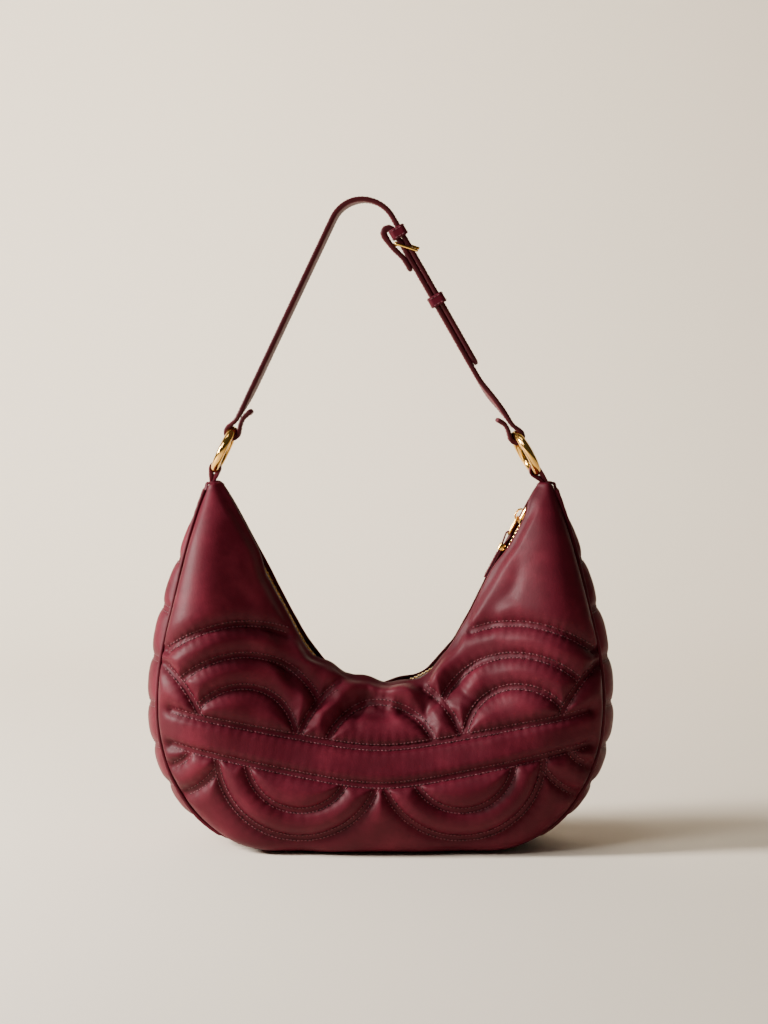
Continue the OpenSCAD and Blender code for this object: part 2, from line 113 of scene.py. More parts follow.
def opening_point(s, depth=0.0):
    """A point of the opening's line, at a length s from its lowest point."""
    s = np.asarray(s, float)
    a = np.minimum(s / SAG_RADIUS, SLOPE)
    rest = np.maximum(0, s - ARC)
    return np.stack([(SAG_RADIUS + depth) * np.sin(a) + rest * np.cos(a),
                     SAG + SAG_RADIUS - (SAG_RADIUS + depth) * np.cos(a) + rest * np.sin(a)], -1)


def gusset_width(t):
    """Half the gusset's width."""
    return TIP_HALF + (GUSSET_HALF - TIP_HALF) * (1 - t ** 3.2)


def gusset_inset(t):
    """How far the gusset's edges lie in from its outermost line."""
    return 3 + 6.5 * smooth((t - 0.2) / 0.25) - 7.5 * smooth((t - 0.75) / 0.25)


def zip_edge(t):
    """How far a panel's upper edge lies from the zip's middle."""
    return TIP_HALF + (ZIP_GAP - TIP_HALF) * (1 - t ** 12)


def bulge(t):
    """How far a panel stands out between its two edges."""
    return 2.5 + (BAG_DEPTH / 2 - 24.5) * (1 - t ** 2.4)


def seam(t):
    """The seam between a panel and the gusset, in the front view."""
    return outer(t) - gusset_inset(t)[..., None] * outer_normal(t)


SLUMP = 8.0                        # how far the padded leather slumps out over the base


def panel_base(u, v):
    """The front panel's plain surface: u from -1 to 1 between the horns, v from 0 at the seam to 1 at the zip.

    Its lowest part slumps out over the middle of the base and down towards the floor.
    """
    t = np.abs(u)
    start = seam(t)
    p = start + (opening_point(t * OPENING) - start) * v[..., None]
    y = gusset_width(t) * (1 - v) + zip_edge(t) * v + bulge(t) * np.sin(np.pi * np.clip(v, 0, 1) ** 0.75)
    up = v * np.linalg.norm(opening_point(t * OPENING) - start, axis=-1)
    share = (1 - smooth((p[..., 0] - 75) / 55)) * (1 - smooth((start[..., 1] - 8) / 25))
    y = y + SLUMP * share * smooth(up / 12) * (1 - 0.65 * smooth((up - 14) / 55))
    z = p[..., 1] - 0.62 * share * (p[..., 1] - 1.3) * np.exp(-((up - 6) / 8) ** 2)
    return np.stack([np.sign(u) * p[..., 0], -y, z], -1)


def gusset_base(u, w):
    t = np.abs(u)
    p = outer(t) - (gusset_inset(t) * w * w)[..., None] * outer_normal(t)
    return np.stack([np.sign(u) * p[..., 0], gusset_width(t) * w, p[..., 1]], -1)


def grid_normals(points):
    """Unit normals of a grid of points, from its two sets of grid lines."""
    a = np.gradient(points, axis=0)
    b = np.gradient(points, axis=1)
    n = np.cross(a, b)
    return n / np.maximum(np.linalg.norm(n, axis=-1, keepdims=True), 1e-9)


# ---------- making meshes ----------

def link(obj):
    bpy.context.scene.collection.objects.link(obj)
    return obj


def make_mesh(name, verts, faces, material, smooth_faces=True):
    """A mesh object from millimetre points and a list or array of faces."""
    mesh = bpy.data.meshes.new(name)
    mesh.from_pydata((np.asarray(verts, float) * MM).tolist(), [],
                     faces.tolist() if isinstance(faces, np.ndarray) else faces)
    mesh.validate()
    mesh.update()
    mesh.polygons.foreach_set("use_smooth", [smooth_faces] * len(mesh.polygons))
    mesh.materials.append(material)
    return link(bpy.data.objects.new(name, mesh))


def attach(piece, body, node=None):
    """Says which CAD node a piece stands in for and the body that it rides on."""
    if node:
        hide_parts(node)
    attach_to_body(piece, body)


def grid_faces(rows, cols, closed=False):
    """Quads between the points of a grid; closed joins its last column to the first."""
    i, j = np.meshgrid(np.arange(rows - 1), np.arange(cols if closed else cols - 1), indexing="ij")
    k = (j + 1) % cols
    return np.stack([i * cols + j, (i + 1) * cols + j, (i + 1) * cols + k, i * cols + k], -1).reshape(-1, 4)


def sheet_object(name, outside, inside, material, flip=False):
    """A closed thin solid between two grids of points of the same shape."""
    rows, cols = outside.shape[:2]
    n = rows * cols
    top = grid_faces(rows, cols)
    bottom = top[:, ::-1] + n
    ring = np.concatenate([np.arange(cols), cols * np.arange(1, rows) + cols - 1,
                           cols * (rows - 1) + np.arange(cols - 2, -1, -1), cols * np.arange(rows - 2, 0, -1)])
    after = np.roll(ring, -1)
    rim = np.stack([ring, after, after + n, ring + n], -1)
    faces = np.concatenate([top, bottom, rim])
    if flip:
        faces = faces[:, ::-1]
    return make_mesh(name, np.concatenate([outside.reshape(-1, 3), inside.reshape(-1, 3)]), faces, material)


def mark_height(obj, values):
    """Stores each point's height between the seams, which the leather's colour follows as painted shade in the seam
    hollows and painted highlight on the padded tops.
    """
    attribute = obj.data.attributes.new("high", "FLOAT", "POINT")
    full = np.zeros(len(obj.data.vertices), np.float32)
    full[:values.size] = values.reshape(-1)
    attribute.data.foreach_set("value", full)


def tangents(path, closed=False):
    path = np.asarray(path, float)
    return unit(np.roll(path, -1, 0) - np.roll(path, 1, 0) if closed else np.gradient(path, axis=0))


def resample(path, step, closed=False):
    """Evenly spaced points along a line."""
    path = np.asarray(path, float)
    if closed:
        path = np.vstack([path, path[:1]])
    s = arc_lengths(path)
    count = max(2, int(round(s[-1] / step)) + 1)
    at = np.linspace(0, s[-1], count)
    out = np.stack([np.interp(at, s, path[:, k]) for k in range(path.shape[1])], -1)
    return out[:-1] if closed else out


def smoothed(path, rounds=2):
    path = np.asarray(path, float).copy()
    for _ in range(rounds):
        path[1:-1] = (path[:-2] + 2 * path[1:-1] + path[2:]) / 4
    return path


def rounded_section(width, thick, corner, steps=4):
    """A rounded rectangle: first coordinate across the width, second through the thickness."""
    corner = min(corner, thick / 2 - 0.01, width / 2 - 0.01)
    points = []
    for k, (sx, sy) in enumerate([(1, 1), (-1, 1), (-1, -1), (1, -1)]):
        for i in range(steps + 1):
            a = (k + i / steps) * math.pi / 2
            points.append((sx * (width / 2 - corner) + corner * math.cos(a),
                           sy * (thick / 2 - corner) + corner * math.sin(a)))
    return np.array(points)


def tube_section(radius):
    a = np.arange(12) * TAU / 12
    return np.stack([radius * np.cos(a), radius * np.sin(a)], -1)


def sweep(name, path, side, section, material, closed=False, scale=None):
    """Sweeps a section along a path. side is the section's first axis, or one for each point."""
    path = np.asarray(path, float)
    tangent = tangents(path, closed)
    side = np.broadcast_to(np.asarray(side, float), path.shape)
    a = unit(side - (side * tangent).sum(1, keepdims=True) * tangent)
    b = np.cross(tangent, a)
    scale = np.ones((len(path), 2)) if scale is None else scale
    rings = (path[:, None] + a[:, None] * (section[None, :, :1] * scale[:, None, :1])
             + b[:, None] * (section[None, :, 1:] * scale[:, None, 1:]))
    m = len(section)
    verts = rings.reshape(-1, 3)
    faces = (grid_faces(len(path) + closed, m, True) % len(verts)).tolist()
    if not closed:
        for row, order in ((0, 1), (len(path) - 1, -1)):
            first, centre = row * m, len(verts)
            verts = np.vstack([verts, verts[first:first + m].mean(0)])
            for k in range(m):
                p, q = first + k, first + (k + 1) % m
                faces.append([centre, q, p] if order > 0 else [centre, p, q])
    return make_mesh(name, verts, [f[::-1] for f in faces], material)


def join_meshes(name, parts, material):
    """Many (points, faces) pairs in one flat-sided object."""
    verts, faces, shift = [], [], 0
    for points, part_faces in parts:
        verts.append(points)
        faces += [[k + shift for k in face] for face in part_faces]
        shift += len(points)
    return make_mesh(name, np.vstack(verts), faces, material, smooth_faces=False)


THREAD_SIDES = 6
HOLE_RADII = (0.42, 0.5, 0.12)     # a needle hole's pit, a dark dot of painted shade: along the seam, across it and out of the leather
HOLE_GAP = 0.38                    # from the end of a stitch to the middle of its hole


def thread_template():
    """A small stitch along X, of half length, half width and half height 1."""
    ring = [(math.cos(TAU * k / THREAD_SIDES), math.sin(TAU * k / THREAD_SIDES)) for k in range(THREAD_SIDES)]
    points = [(x, r * y, r * z) for x, r in ((-0.86, 0.6), (-0.4, 1.0), (0.4, 1.0), (0.86, 0.6)) for y, z in ring]
    first, last = len(points), len(points) + 1
    faces = grid_faces(4, THREAD_SIDES, True).tolist()
    for k in range(THREAD_SIDES):
        n = (k + 1) % THREAD_SIDES
        faces += [[first, k, n], [last, 3 * THREAD_SIDES + n, 3 * THREAD_SIDES + k]]
    return np.array(points + [(-1.0, 0, 0), (1.0, 0, 0)]), faces


def hole_template():
    """A low dome that lies in the leather, its rim under the surface. It carries the needle hole's painted shade."""
    a = np.arange(THREAD_SIDES) * TAU / THREAD_SIDES
    rim = np.column_stack([np.cos(a), np.sin(a), np.full(THREAD_SIDES, -0.6)])
    faces = [[k, (k + 1) % THREAD_SIDES, THREAD_SIDES] for k in range(THREAD_SIDES)]
    return np.vstack([rim, [[0, 0, 1.0]]]), faces


def sew(name, body, rows, half_length=0.95, radius=0.4):
    """A piece of thread stitches from rows of (centres, directions, normals), with a dark dot of painted shade for
    the needle hole at each.
    """
    centres, along, normals = (np.vstack(part) for part in zip(*rows))
    along = unit(along)
    across = unit(np.cross(normals, along))
    up = np.cross(along, across)
    verts, faces, counts = [], [], []
    for (shape, shape_faces), place, size in (
            (thread_template(), centres, (half_length, radius, radius)),
            (hole_template(), centres - along * (half_length + HOLE_GAP), HOLE_RADII)):
        shift = sum(len(points) for points in verts)
        verts.append((place[:, None] + along[:, None] * shape[None, :, :1] * size[0]
                      + across[:, None] * shape[None, :, 1:2] * size[1]
                      + up[:, None] * shape[None, :, 2:] * size[2]).reshape(-1, 3))
        faces += [[shift + len(shape) * k + j for j in face] for k in range(len(place)) for face in shape_faces]
        counts.append(len(faces))
    thread = make_mesh(name, np.vstack(verts), faces, THREAD)
    thread.data.materials.append(PAINTED_HOLE_SHADE)
    thread.data.polygons.foreach_set("material_index", (np.arange(counts[1]) >= counts[0]).astype(np.int32))
    attach(thread, body)
    return thread


# ---------- materials ----------

class Looks:
    """A material and its nodes."""

    def __init__(self, name):
        self.material = bpy.data.materials.new(name)
        self.material.use_nodes = True
        self.tree = self.material.node_tree
        self.where = self.tree.nodes.new("ShaderNodeTexCoord").outputs["Object"]

    def fill(self, node, inputs):
        """Gives each named input of a node a value, or links it to another node's output."""
        for key, value in inputs.items():
            if isinstance(value, bpy.types.NodeSocket):
                self.tree.links.new(value, node.inputs[key])
            else:
                node.inputs[key].default_value = value
        return node

    def add(self, kind, **inputs):
        node = self.tree.nodes.new("ShaderNode" + kind)
        return self.fill(node, {key.replace("_", " "): value for key, value in inputs.items()})

    def shader(self, inputs):
        self.fill(self.tree.nodes["Principled BSDF"], inputs)
        return self.material

    def noise(self, scale, detail, roughness=0.5):
        return self.add("TexNoise", Vector=self.where, Scale=scale, Detail=detail, Roughness=roughness).outputs["Fac"]

    def math(self, operation, *values):
        node = self.add("Math")
        node.operation = operation
        return self.fill(node, dict(enumerate(values))).outputs[0]

    def ramp(self, factor, *stops):
        node = self.add("ValToRGB", Fac=factor)
        elements = node.color_ramp.elements
        while len(elements) < len(stops):
            elements.new(0.5)
        for element, (position, colour) in zip(elements, stops):
            element.position = position
            element.color = (*colour, 1)
        return node.outputs["Color"]

    def bump(self, height, strength, distance, **under):
        return self.add("Bump", Height=height, Strength=strength, Distance=distance, **under).outputs["Normal"]

    def between(self, factor, low, high):
        return self.add("MapRange", Value=factor, To_Min=low, To_Max=high).outputs["Result"]


def leather_material(name, deep, mid, pale_tone_and_highlight, roughness=0.48, grain=1.0):
    """Smooth, lightly grained leather: pores, fine creases, a slow change of colour, painted shade in the seam
    hollows and painted highlight on the paler padded tops.
    """
    looks = Looks(name)
    # The padding's height paints shade into the seam hollows and highlight onto the padded tops, over random patches
    # of tone.
    high = looks.add("Attribute")
    high.attribute_name = "high"
    patches_and_shade = looks.math("MULTIPLY_ADD", high.outputs["Fac"], 0.22, looks.noise(34.0, 4.0, 0.6))
    pores = looks.add("TexVoronoi", Vector=looks.where, Scale=900.0).outputs["Distance"]
    creases = looks.noise(420.0, 5.0, 0.65)
    fine = looks.bump(pores, 0.16 * grain, 0.0003)
    return looks.shader({
        "Base Color": looks.ramp(patches_and_shade, (0.3, deep), (0.62, mid), (0.9, pale_tone_and_highlight)),
        "Normal": looks.bump(creases, 0.14 * grain, 0.0006, Normal=fine),
        "Roughness": looks.between(creases, roughness - 0.05, roughness + 0.09),
        "Specular IOR Level": 0.13})


def metal_material(name, colour, roughness=0.13):
    """Polished plated metal with faint unevenness and tiny scratches."""
    looks = Looks(name)
    scratches = looks.noise(260.0, 6.0, 0.7)
    return looks.shader({
        "Metallic": 1.0,
        "Base Color": looks.ramp(scratches, (0.25, tuple(c * 0.86 for c in colour)), (0.7, colour)),
        "Normal": looks.bump(scratches, 0.04, 0.0002),
        "Roughness": looks.between(scratches, roughness - 0.05, roughness + 0.08)})


def cloth_material(name, colour, pale, scale, roughness=0.85, sheen=0.3):
    """Woven cloth: two crossed sets of threads with some unevenness."""
    looks = Looks(name)
    threads = []
    for direction in ("X", "Z"):
        wave = looks.add("TexWave", Vector=looks.where, Scale=scale, Distortion=0.6, Detail_Scale=2.0)
        wave.bands_direction = direction
        threads.append(wave.outputs["Fac"])
    weave = looks.math("MULTIPLY", *threads)
    uneven = looks.math("MULTIPLY_ADD", weave, 0.5, looks.noise(160.0, 3.0))
    return looks.shader({
        "Base Color": looks.ramp(uneven, (0.3, colour), (0.95, pale)),
        "Normal": looks.bump(weave, 0.35, 0.0003),
        "Roughness": roughness, "Sheen Weight": sheen, "Sheen Roughness": 0.5})


def plain_material(name, colour, pale, roughness, scale):
    """An even surface with slow changes of colour."""
    looks = Looks(name)
    return looks.shader({
        "Base Color": looks.ramp(looks.noise(scale, 3.0), (0.3, colour), (0.8, pale)), "Roughness": roughness})


# Each leather runs from its darkest to its palest tone. Where a piece stores its padding's height, the seam hollows
# lean to the dark end as painted shade and the padded tops lean to the pale end as painted highlight.
LEATHER = leather_material(
    "burgundy_leather", (0.048, 0.0028, 0.0080), (0.071, 0.0044, 0.0122), (0.118, 0.0105, 0.0225))
STRAP_LEATHER = leather_material(
    "strap_leather", (0.058, 0.0034, 0.0100), (0.084, 0.0052, 0.0148), (0.125, 0.0110, 0.0230), 0.42)
EDGE_PAINT = leather_material(
    "edge_paint", (0.036, 0.005, 0.008), (0.048, 0.007, 0.010), (0.07, 0.011, 0.015), 0.3, 0.3)
THREAD = cloth_material("thread", (0.090, 0.007, 0.016), (0.170, 0.020, 0.036), 2600.0, 0.5, 0.1)
# Painted shade: these near-black dots stand in for the shadow inside each needle hole.
PAINTED_HOLE_SHADE = plain_material("needle_hole_shade", (0.010, 0.002, 0.003), (0.016, 0.003, 0.004), 0.9, 300.0)
LINING = cloth_material("lining_twill", (0.020, 0.006, 0.009), (0.036, 0.012, 0.016), 900.0)
TAPE = cloth_material("zip_tape_weave", (0.020, 0.007, 0.009), (0.046, 0.017, 0.020), 1300.0)
WADDING = cloth_material("wadding_felt", (0.62, 0.57, 0.48), (0.78, 0.74, 0.66), 300.0, 0.95, 0.1)
BOARD = plain_material("base_board_black", (0.015, 0.013, 0.013), (0.03, 0.026, 0.025), 0.6, 60.0)
GOLD = metal_material("polished_gold", (0.93, 0.54, 0.13))
BRASS = metal_material("zip_brass", (0.82, 0.50, 0.15), 0.24)

NODE_MATERIALS = {
    "base_board": BOARD, "zip_tape_front": TAPE, "zip_tape_back": TAPE, "inner_pocket": LINING,
    "left_ring": GOLD, "right_ring": GOLD, "buckle_frame": GOLD, "buckle_prong": GOLD,
    "zip_top_stops": BRASS, "zip_bottom_stop": BRASS, "left_tab_anchor": STRAP_LEATHER,
    "right_tab_anchor": STRAP_LEATHER,
}
for node_name, node_material in NODE_MATERIALS.items():
    node_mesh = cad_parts[node_name].data
    node_mesh.materials.clear()
    node_mesh.materials.append(node_material)

# ---------- the quilting's seams, in the front view ----------

BELT_HALF = 12.5
ROW_GAP = 2.0                      # from a seam's middle to each of its two rows of stitches
SHORTEST_RUN = 16                  # points in the shortest piece of seam that is sewn
LAST_ROOT = 150                    # scales rooted further out than this share the belt's height here


def belt_middle(x):
    return 64.5 + 0.215 * (np.sqrt(x * x + 900.0) - 30)


def above_belt(p):
    return p[:, 1] > belt_middle(p[:, 0]) + BELT_HALF


def below_belt(p):
    return p[:, 1] < belt_middle(p[:, 0]) - BELT_HALF


def circle_points(centre, radius):
    a = np.arange(0, TAU, 0.5 / radius)
    return np.stack([centre[0] + radius * np.sin(a), centre[1] - radius * np.cos(a)], -1)


def runs(points, keep, closed=True):
    """Splits a line of points into the runs where keep holds, and drops the very short ones."""
    if keep.all():
        return [points]
    if closed:
        first = int(np.argmin(keep))
        points, keep = np.roll(points, -first, 0), np.roll(keep, -first)
    out, current = [], []
    for point, good in zip(points, keep):
        if good:
            current.append(point)
        elif current:
            out.append(np.array(current))
            current = []
    if current:
        out.append(np.array(current))
    return [r for r in out if len(r) > SHORTEST_RUN]


# Scales above the belt: (centre across, centre up from the belt's middle, radii, centres drawn over them)
UPPER_SCALES = [
    (0, 0, (42, 62), ()),
    (207, -22, (62, 84), ()),
    (100, 0, (40, 62, 84), ((0, 0, 62), (207, -22, 84))),
]
LOWER_SCALES = [
    (58, 0, (38, 59), ()),
    (165, 4, (36, 58), ((58, 0, 59),)),
]


def scale_centre(x, lift, sign):
    return sign * x, belt_middle(min(x, LAST_ROOT)) + lift


def scale_seams():
    """Circles round each scale's centre, kept on their side of the belt and cut by the scales drawn over them."""
    lines = []
    for scales, side_of_belt in ((UPPER_SCALES, above_belt), (LOWER_SCALES, below_belt)):
        for sign in (-1, 1):
            for x, lift, radii, covers in scales:
                if x == 0 and sign > 0:
                    continue
                for radius in radii:
                    p = circle_points(scale_centre(x, lift, sign), radius)
                    keep = side_of_belt(p)
                    for cover_x, cover_lift, cover_radius in covers:
                        for cover_sign in (-1, 1):
                            over = scale_centre(cover_x, cover_lift, cover_sign)
                            keep &= np.hypot(p[:, 0] - over[0], p[:, 1] - over[1]) > cover_radius
                    lines += runs(p, keep)
    return lines


def belt_seams():
    x = np.arange(-LAST_ROOT, LAST_ROOT + 0.1, 0.5)
    return [np.stack([x, belt_middle(x) + side * BELT_HALF], -1) for side in (-1, 1)]


def inside_polygon(points, polygon):
    x, y = points[:, 0], points[:, 1]
    inside = np.zeros(len(points), bool)
    for (a, b), (c, d) in zip(polygon, np.roll(polygon, -1, 0)):
        if b != d:
            inside ^= ((b > y) != (d > y)) & (x < (c - a) * (y - b) / (d - b) + a)
    return inside


def panel_outline(margin_seam, margin_zip):
    """The panel's outline in the front view, drawn in by a margin along each of its two long edges."""
    u = np.linspace(-0.97, 0.97, 240)
    t = np.abs(u)
    length = np.linalg.norm(opening_point(t * OPENING) - seam(t), axis=-1)
    low = panel_base(u, margin_seam / length)[:, [0, 2]]
    high = panel_base(u, 1 - margin_zip / length)[:, [0, 2]]
    return np.vstack([low, high[::-1]])


def quilt_lines():
    outline = panel_outline(5, 7)
    lines = []
    for line in belt_seams() + scale_seams():
        lines += runs(line, inside_polygon(line, outline), closed=False)
    return lines


def build_tree(points):
    """A search tree of front-view points."""
    tree = kdtree.KDTree(len(points))
    for k, (x, z) in enumerate(points):
        tree.insert((x, z, 0.0), k)
    tree.balance()
    return tree


QUILT_LINES = quilt_lines()
SEAM_TREE = build_tree(np.vstack(QUILT_LINES))
SEAM_LENGTHS = np.concatenate([arc_lengths(line) + 40.0 * k for k, line in enumerate(QUILT_LINES)])

# ---------- padded leather ----------

PAD = 5.8                          # how far the padding swells between seams
PAD_ROUND = 11.5                   # distance over which it rises
SEAM_SINK = 1.9                    # how deep the stitches pull the leather in
PUCKER = 0.34                      # height of the small gathers beside a seam
PUCKER_PITCH = 6.3
PUCKER_REACH = 3.2                 # distance from the seam over which they fade
RIM_WIDTH = 9.0                    # width of the calm strip along the zip
LIP_ROLL = 5.0                     # how far the lip rolls out at the sag
LIP_HOLLOW = 3.0                   # depth of the hollow under it
FLOOR_GAP = 0.7                    # the leather eases off above the floor
TIP_STEPS = 8                      # rows that close a tip
TIP_RISE = 2.8
TIP_CLOSE = 0.8                    # share of the way in to the tab that the closing rows go
TAB_HALF = 2.2                     # half the room that they leave for the tab


def pillow(d, flat):
    """Height of padded leather at a distance d from a double seam's middle; flat is 1 on the plain belt."""
    x = np.clip((d - ROW_GAP) / (PAD_ROUND - 5.5 * flat), 0, 1)
    swell = (PAD - 1.4 * flat) * dome(x) ** 1.15
    between = 0.5 * np.clip(1 - (d / ROW_GAP) ** 2, 0, 1)
    return swell + between - SEAM_SINK


# Soft folds of the slack leather, in the front view: from x, z to x, z, then height and half width
FRONT_FOLDS = [
    (-62, 112, -98, 158, 2.2, 5.0), (-54, 105, -86, 148, -2.0, 4.0), (-70, 140, -92, 176, 1.8, 5.0),
    (-44, 98, -66, 118, 2.4, 4.0), (-84, 168, -104, 214, 1.5, 6.0), (-58, 126, -70, 138, -1.6, 3.0),
    (-30, 108, -46, 92, 2.0, 4.0), (-12, 112, -16, 88, -2.2, 3.5), (8, 111, 14, 92, 2.0, 4.0),
    (26, 109, 40, 96, -2.0, 3.5), (40, 112, 58, 100, 2.2, 4.0), (52, 118, 76, 112, -1.8, 3.5),
    (60, 128, 90, 140, 1.6, 5.0), (72, 148, 96, 176, 1.5, 6.0), (84, 172, 104, 206, -1.2, 5.0),
    (-24, 106, 22, 103, -2.6, 3.0),
]


def fold_height(x, z, folds):
    h = np.zeros_like(x)
    for x0, z0, x1, z1, height, half in folds:
        dx, dz = x1 - x0, z1 - z0
        length2 = dx * dx + dz * dz
        s = np.clip(((x - x0) * dx + (z - z0) * dz) / length2, -0.15, 1.15)
        bend = 2.5 * np.sin(s * 5 + x0)
        length = math.sqrt(length2)
        px = x0 + dx * s - dz / length * bend
        pz = z0 + dz * s + dx / length * bend
        d = np.hypot(x - px, z - pz)
        fade = np.clip(np.sin(np.clip((s + 0.15) / 1.3, 0, 1) * math.pi), 0, 1)
        h += height * fade * np.exp(-(d / half) ** 2)
    return h


def lumps(points, scale, seed):
    return np.array([noise.noise(Vector((p[0] * scale + seed, p[1] * scale, p[2] * scale))) for p in points])


def edge_shift(side, x, z, v, base):
    """How far the zip edge slouches: the front lip drops at the sag and stands back from the zip on one horn."""
    near_edge = smooth((v - 0.62) / 0.38)[..., None]
    inward = unit(base[:, :1] - base[:, -1:])
    if side == "front":
        drop = 3.4 * np.exp(-((x - 24) / 14) ** 2) - 2.6 * np.exp(-((x + 22) / 30) ** 2)
        drop += 1.5 * np.sin(x * 0.21 + 0.8) * np.exp(-(x / 62) ** 2)
        horn = 4.2 * smooth((z - 128) / 14) * (1 - smooth((z - 196) / 20)) * (x < 0)
        horn += 3.2 * smooth((z - 200) / 24) * (1 - smooth((z - 240) / 14)) * (x > 0)
        lip = -1.6 * np.exp(-(x / 60) ** 2) + 3.4 * np.exp(-((x - 26) / 15) ** 2)
    else:
        drop = 2.4 * np.exp(-((x + 4) / 44) ** 2) + 1.5 * np.sin(x * 0.19 + 2.0) * np.exp(-(x / 60) ** 2)
        horn = 0.0
        lip = 2.0 * np.exp(-(x / 60) ** 2) * (0.5 + 0.5 * np.sin(x * 0.13))
    shift = inward * (drop + horn)[..., None]
    shift[..., 1] -= lip
    return shift * near_edge


def panel_grid(side, seed, folds):
    """The quilted front panel's surface, and its height over the plain one."""
    u, v = np.meshgrid(np.linspace(-1, 1, 361), np.linspace(0, 1, 105), indexing="ij")
    u = np.where(np.abs(u) < 1e-6, 1e-6, u)
    base = panel_base(u, v)
    normals = grid_normals(base)
    normals *= np.where(normals[..., 1:2].mean() > 0, -1, 1)
    flat = base.reshape(-1, 3)
    x, z = flat[:, 0], flat[:, 2]
    near = [SEAM_TREE.find((p[0], p[2], 0.0)) for p in flat]
    distance = np.array([hit[2] for hit in near])
    along = SEAM_LENGTHS[[hit[1] for hit in near]]
    t = np.abs(u).reshape(-1)
    length = np.linalg.norm(opening_point(t * OPENING) - seam(t), axis=-1)
    edge_low = v.reshape(-1) * length * 1.12
    edge_high = (1 - v.reshape(-1)) * length

    # padding between the seams, puckered beside them, and calm at the zip edge and the tips
    on_belt = (np.abs(z - belt_middle(x)) < BELT_HALF).astype(float)
    h = pillow(np.minimum(distance, edge_low + ROW_GAP), on_belt)
    pucker = np.exp(-np.clip(distance - ROW_GAP, 0, 99) / PUCKER_REACH) * (distance > ROW_GAP * 0.8)
    h += pucker * PUCKER * np.sin(along * TAU / PUCKER_PITCH + 3 * lumps(flat, 0.02, seed + 5))
    rim = smooth(edge_high / RIM_WIDTH)
    h = h * rim + (1 - rim) * 0.4 * (1 - smooth((t - 0.90) / 0.1))

    # slack folds at the sag, the rolled lip along the zip with a hollow under it, and unevenness
    h += fold_height(x, z, folds) * smooth(edge_high / 5.0)
    slack = np.exp(-(x / 70) ** 2) * smooth((z - 86) / 26)
    h += slack * 1.6 * np.sin(x * 0.19 + 1.3 * np.sin(x * 0.06 + seed)) * smooth(edge_high / 4)
    h += LIP_ROLL * (np.exp(-((edge_high - RIM_WIDTH) / 6.5) ** 2) * np.exp(-(x / 58) ** 2))
    h -= LIP_HOLLOW * np.exp(-((edge_high - 21) / 4.5) ** 2) * np.exp(-(x / 46) ** 2)
    h += 0.9 * lumps(flat, 0.018, seed) + 0.22 * lumps(flat, 0.075, seed + 9)
    h *= 1 - 0.75 * smooth((t - 0.88) / 0.12)
    h = h.reshape(u.shape)
    surface = base + h[..., None] * normals
    surface += edge_shift(side, x.reshape(u.shape), z.reshape(u.shape), v, base)
    surface[..., 2] = FLOOR_GAP + np.logaddexp(0, surface[..., 2] - FLOOR_GAP)
    return surface, h, base, normals


def with_tips(surface, shape):
    """Adds rows past each end of a grid of points; shape gives a row from the end's edge and an angle."""
    angles = [k / TIP_STEPS * math.pi / 2 for k in range(1, TIP_STEPS + 1)]
    first, last = ([shape(surface[end], a) for a in angles] for end in (0, -1))
    return np.concatenate([first[::-1], surface, last])


def closed_tips(surface):
    """Rounds each horn's tip over, with rows that dome up and close in towards the tab between the leathers."""
    surface = surface.copy()
    u = np.abs(np.linspace(-1, 1, len(surface)))
    round_in = 1 - 0.06 * np.clip((u - 0.955) / 0.045, 0, 1) ** 2
    middle = surface[:, :, 0].mean(1, keepdims=True)
    surface[:, :, 0] = middle + (surface[:, :, 0] - middle) * round_in[:, None]

    def row(edge, a):
        centre_x = edge[:, 0].mean()
        nearest = TAB_HALF * np.sign(edge[:, 1].mean())
        p = edge.copy()
        p[:, 1] = nearest + (edge[:, 1] - nearest) * (1 - TIP_CLOSE * (1 - math.cos(a)))
        p[:, 0] = centre_x + (edge[:, 0] - centre_x) * (1 - 0.74 * (1 - math.cos(a)))
        p[:, 2] = edge[:, 2] + TIP_RISE * math.sin(a)
        return p

    return with_tips(surface, row)


TURN_STEPS = 6
TURN_RADIUS = 1.6
TURN_DEPTH = 7.0


def turned_edge(surface):
    """Adds columns past the zip edge, which turn the leather round and down into the bag."""
    last = surface[:, -1]
    inward = unit(last - surface[:, -2])
    across = np.zeros_like(last)
    across[:, 1] = 1.0
    columns = []
    for k in range(1, TURN_STEPS + 1):
        a = k / TURN_STEPS * math.pi
        columns.append(last + across * TURN_RADIUS * (1 - math.cos(a)) + inward * TURN_RADIUS * math.sin(a))
    columns += [columns[-1] - inward * TURN_DEPTH * k / 3 for k in (1, 2, 3)]
    return np.concatenate([surface, np.stack(columns, 1)], 1)


def mirrored(points):
    return points * np.array([1, -1, 1])


def place_on(points, normals, tree, wanted):
    """Points and normals of a surface above a list of front-view points."""
    out_p, out_n = [], []
    for x, z in wanted:
        hits = tree.find_n((x, z, 0.0), 4)
        weights = np.array([1 / (hit[2] + 0.05) ** 2 for hit in hits])
        weights /= weights.sum()
        index = [hit[1] for hit in hits]
        out_p.append((x, (points[index] * weights[:, None]).sum(0)[1], z))
        out_n.append((normals[index] * weights[:, None]).sum(0))
    return np.array(out_p), unit(np.array(out_n))


STITCH_PITCH = 2.7
THREAD_LIFT = 0.1                  # from the leather to the middle of a thread


def seam_stitches(name, surface, normals, mirror):
    """Two rows of thread along every quilting seam, lying on the leather."""
    flat, flat_normals = surface.reshape(-1, 3), normals.reshape(-1, 3)
    tree = build_tree(flat[:, [0, 2]])
    middles, ends = [], []
    for line in QUILT_LINES:
        for side in (-1, 1):
            tangent = tangents(line)
            row = line + side * ROW_GAP * np.stack([-tangent[:, 1], tangent[:, 0]], -1)
            points = resample(row, STITCH_PITCH)
            middles.append(points[1:-1])
            ends.append(points[1:-1] + tangents(points)[1:-1] * 0.9)
    p, n = place_on(flat, flat_normals, tree, np.vstack(middles))
    q, _ = place_on(flat, flat_normals, tree, np.vstack(ends))
    p = p + n * THREAD_LIFT
    if mirror:
        p, q, n = mirrored(p), mirrored(q), mirrored(n)
    sew(name, "bag", [(p, q - p, n)])


LEATHER_THICK = 1.4


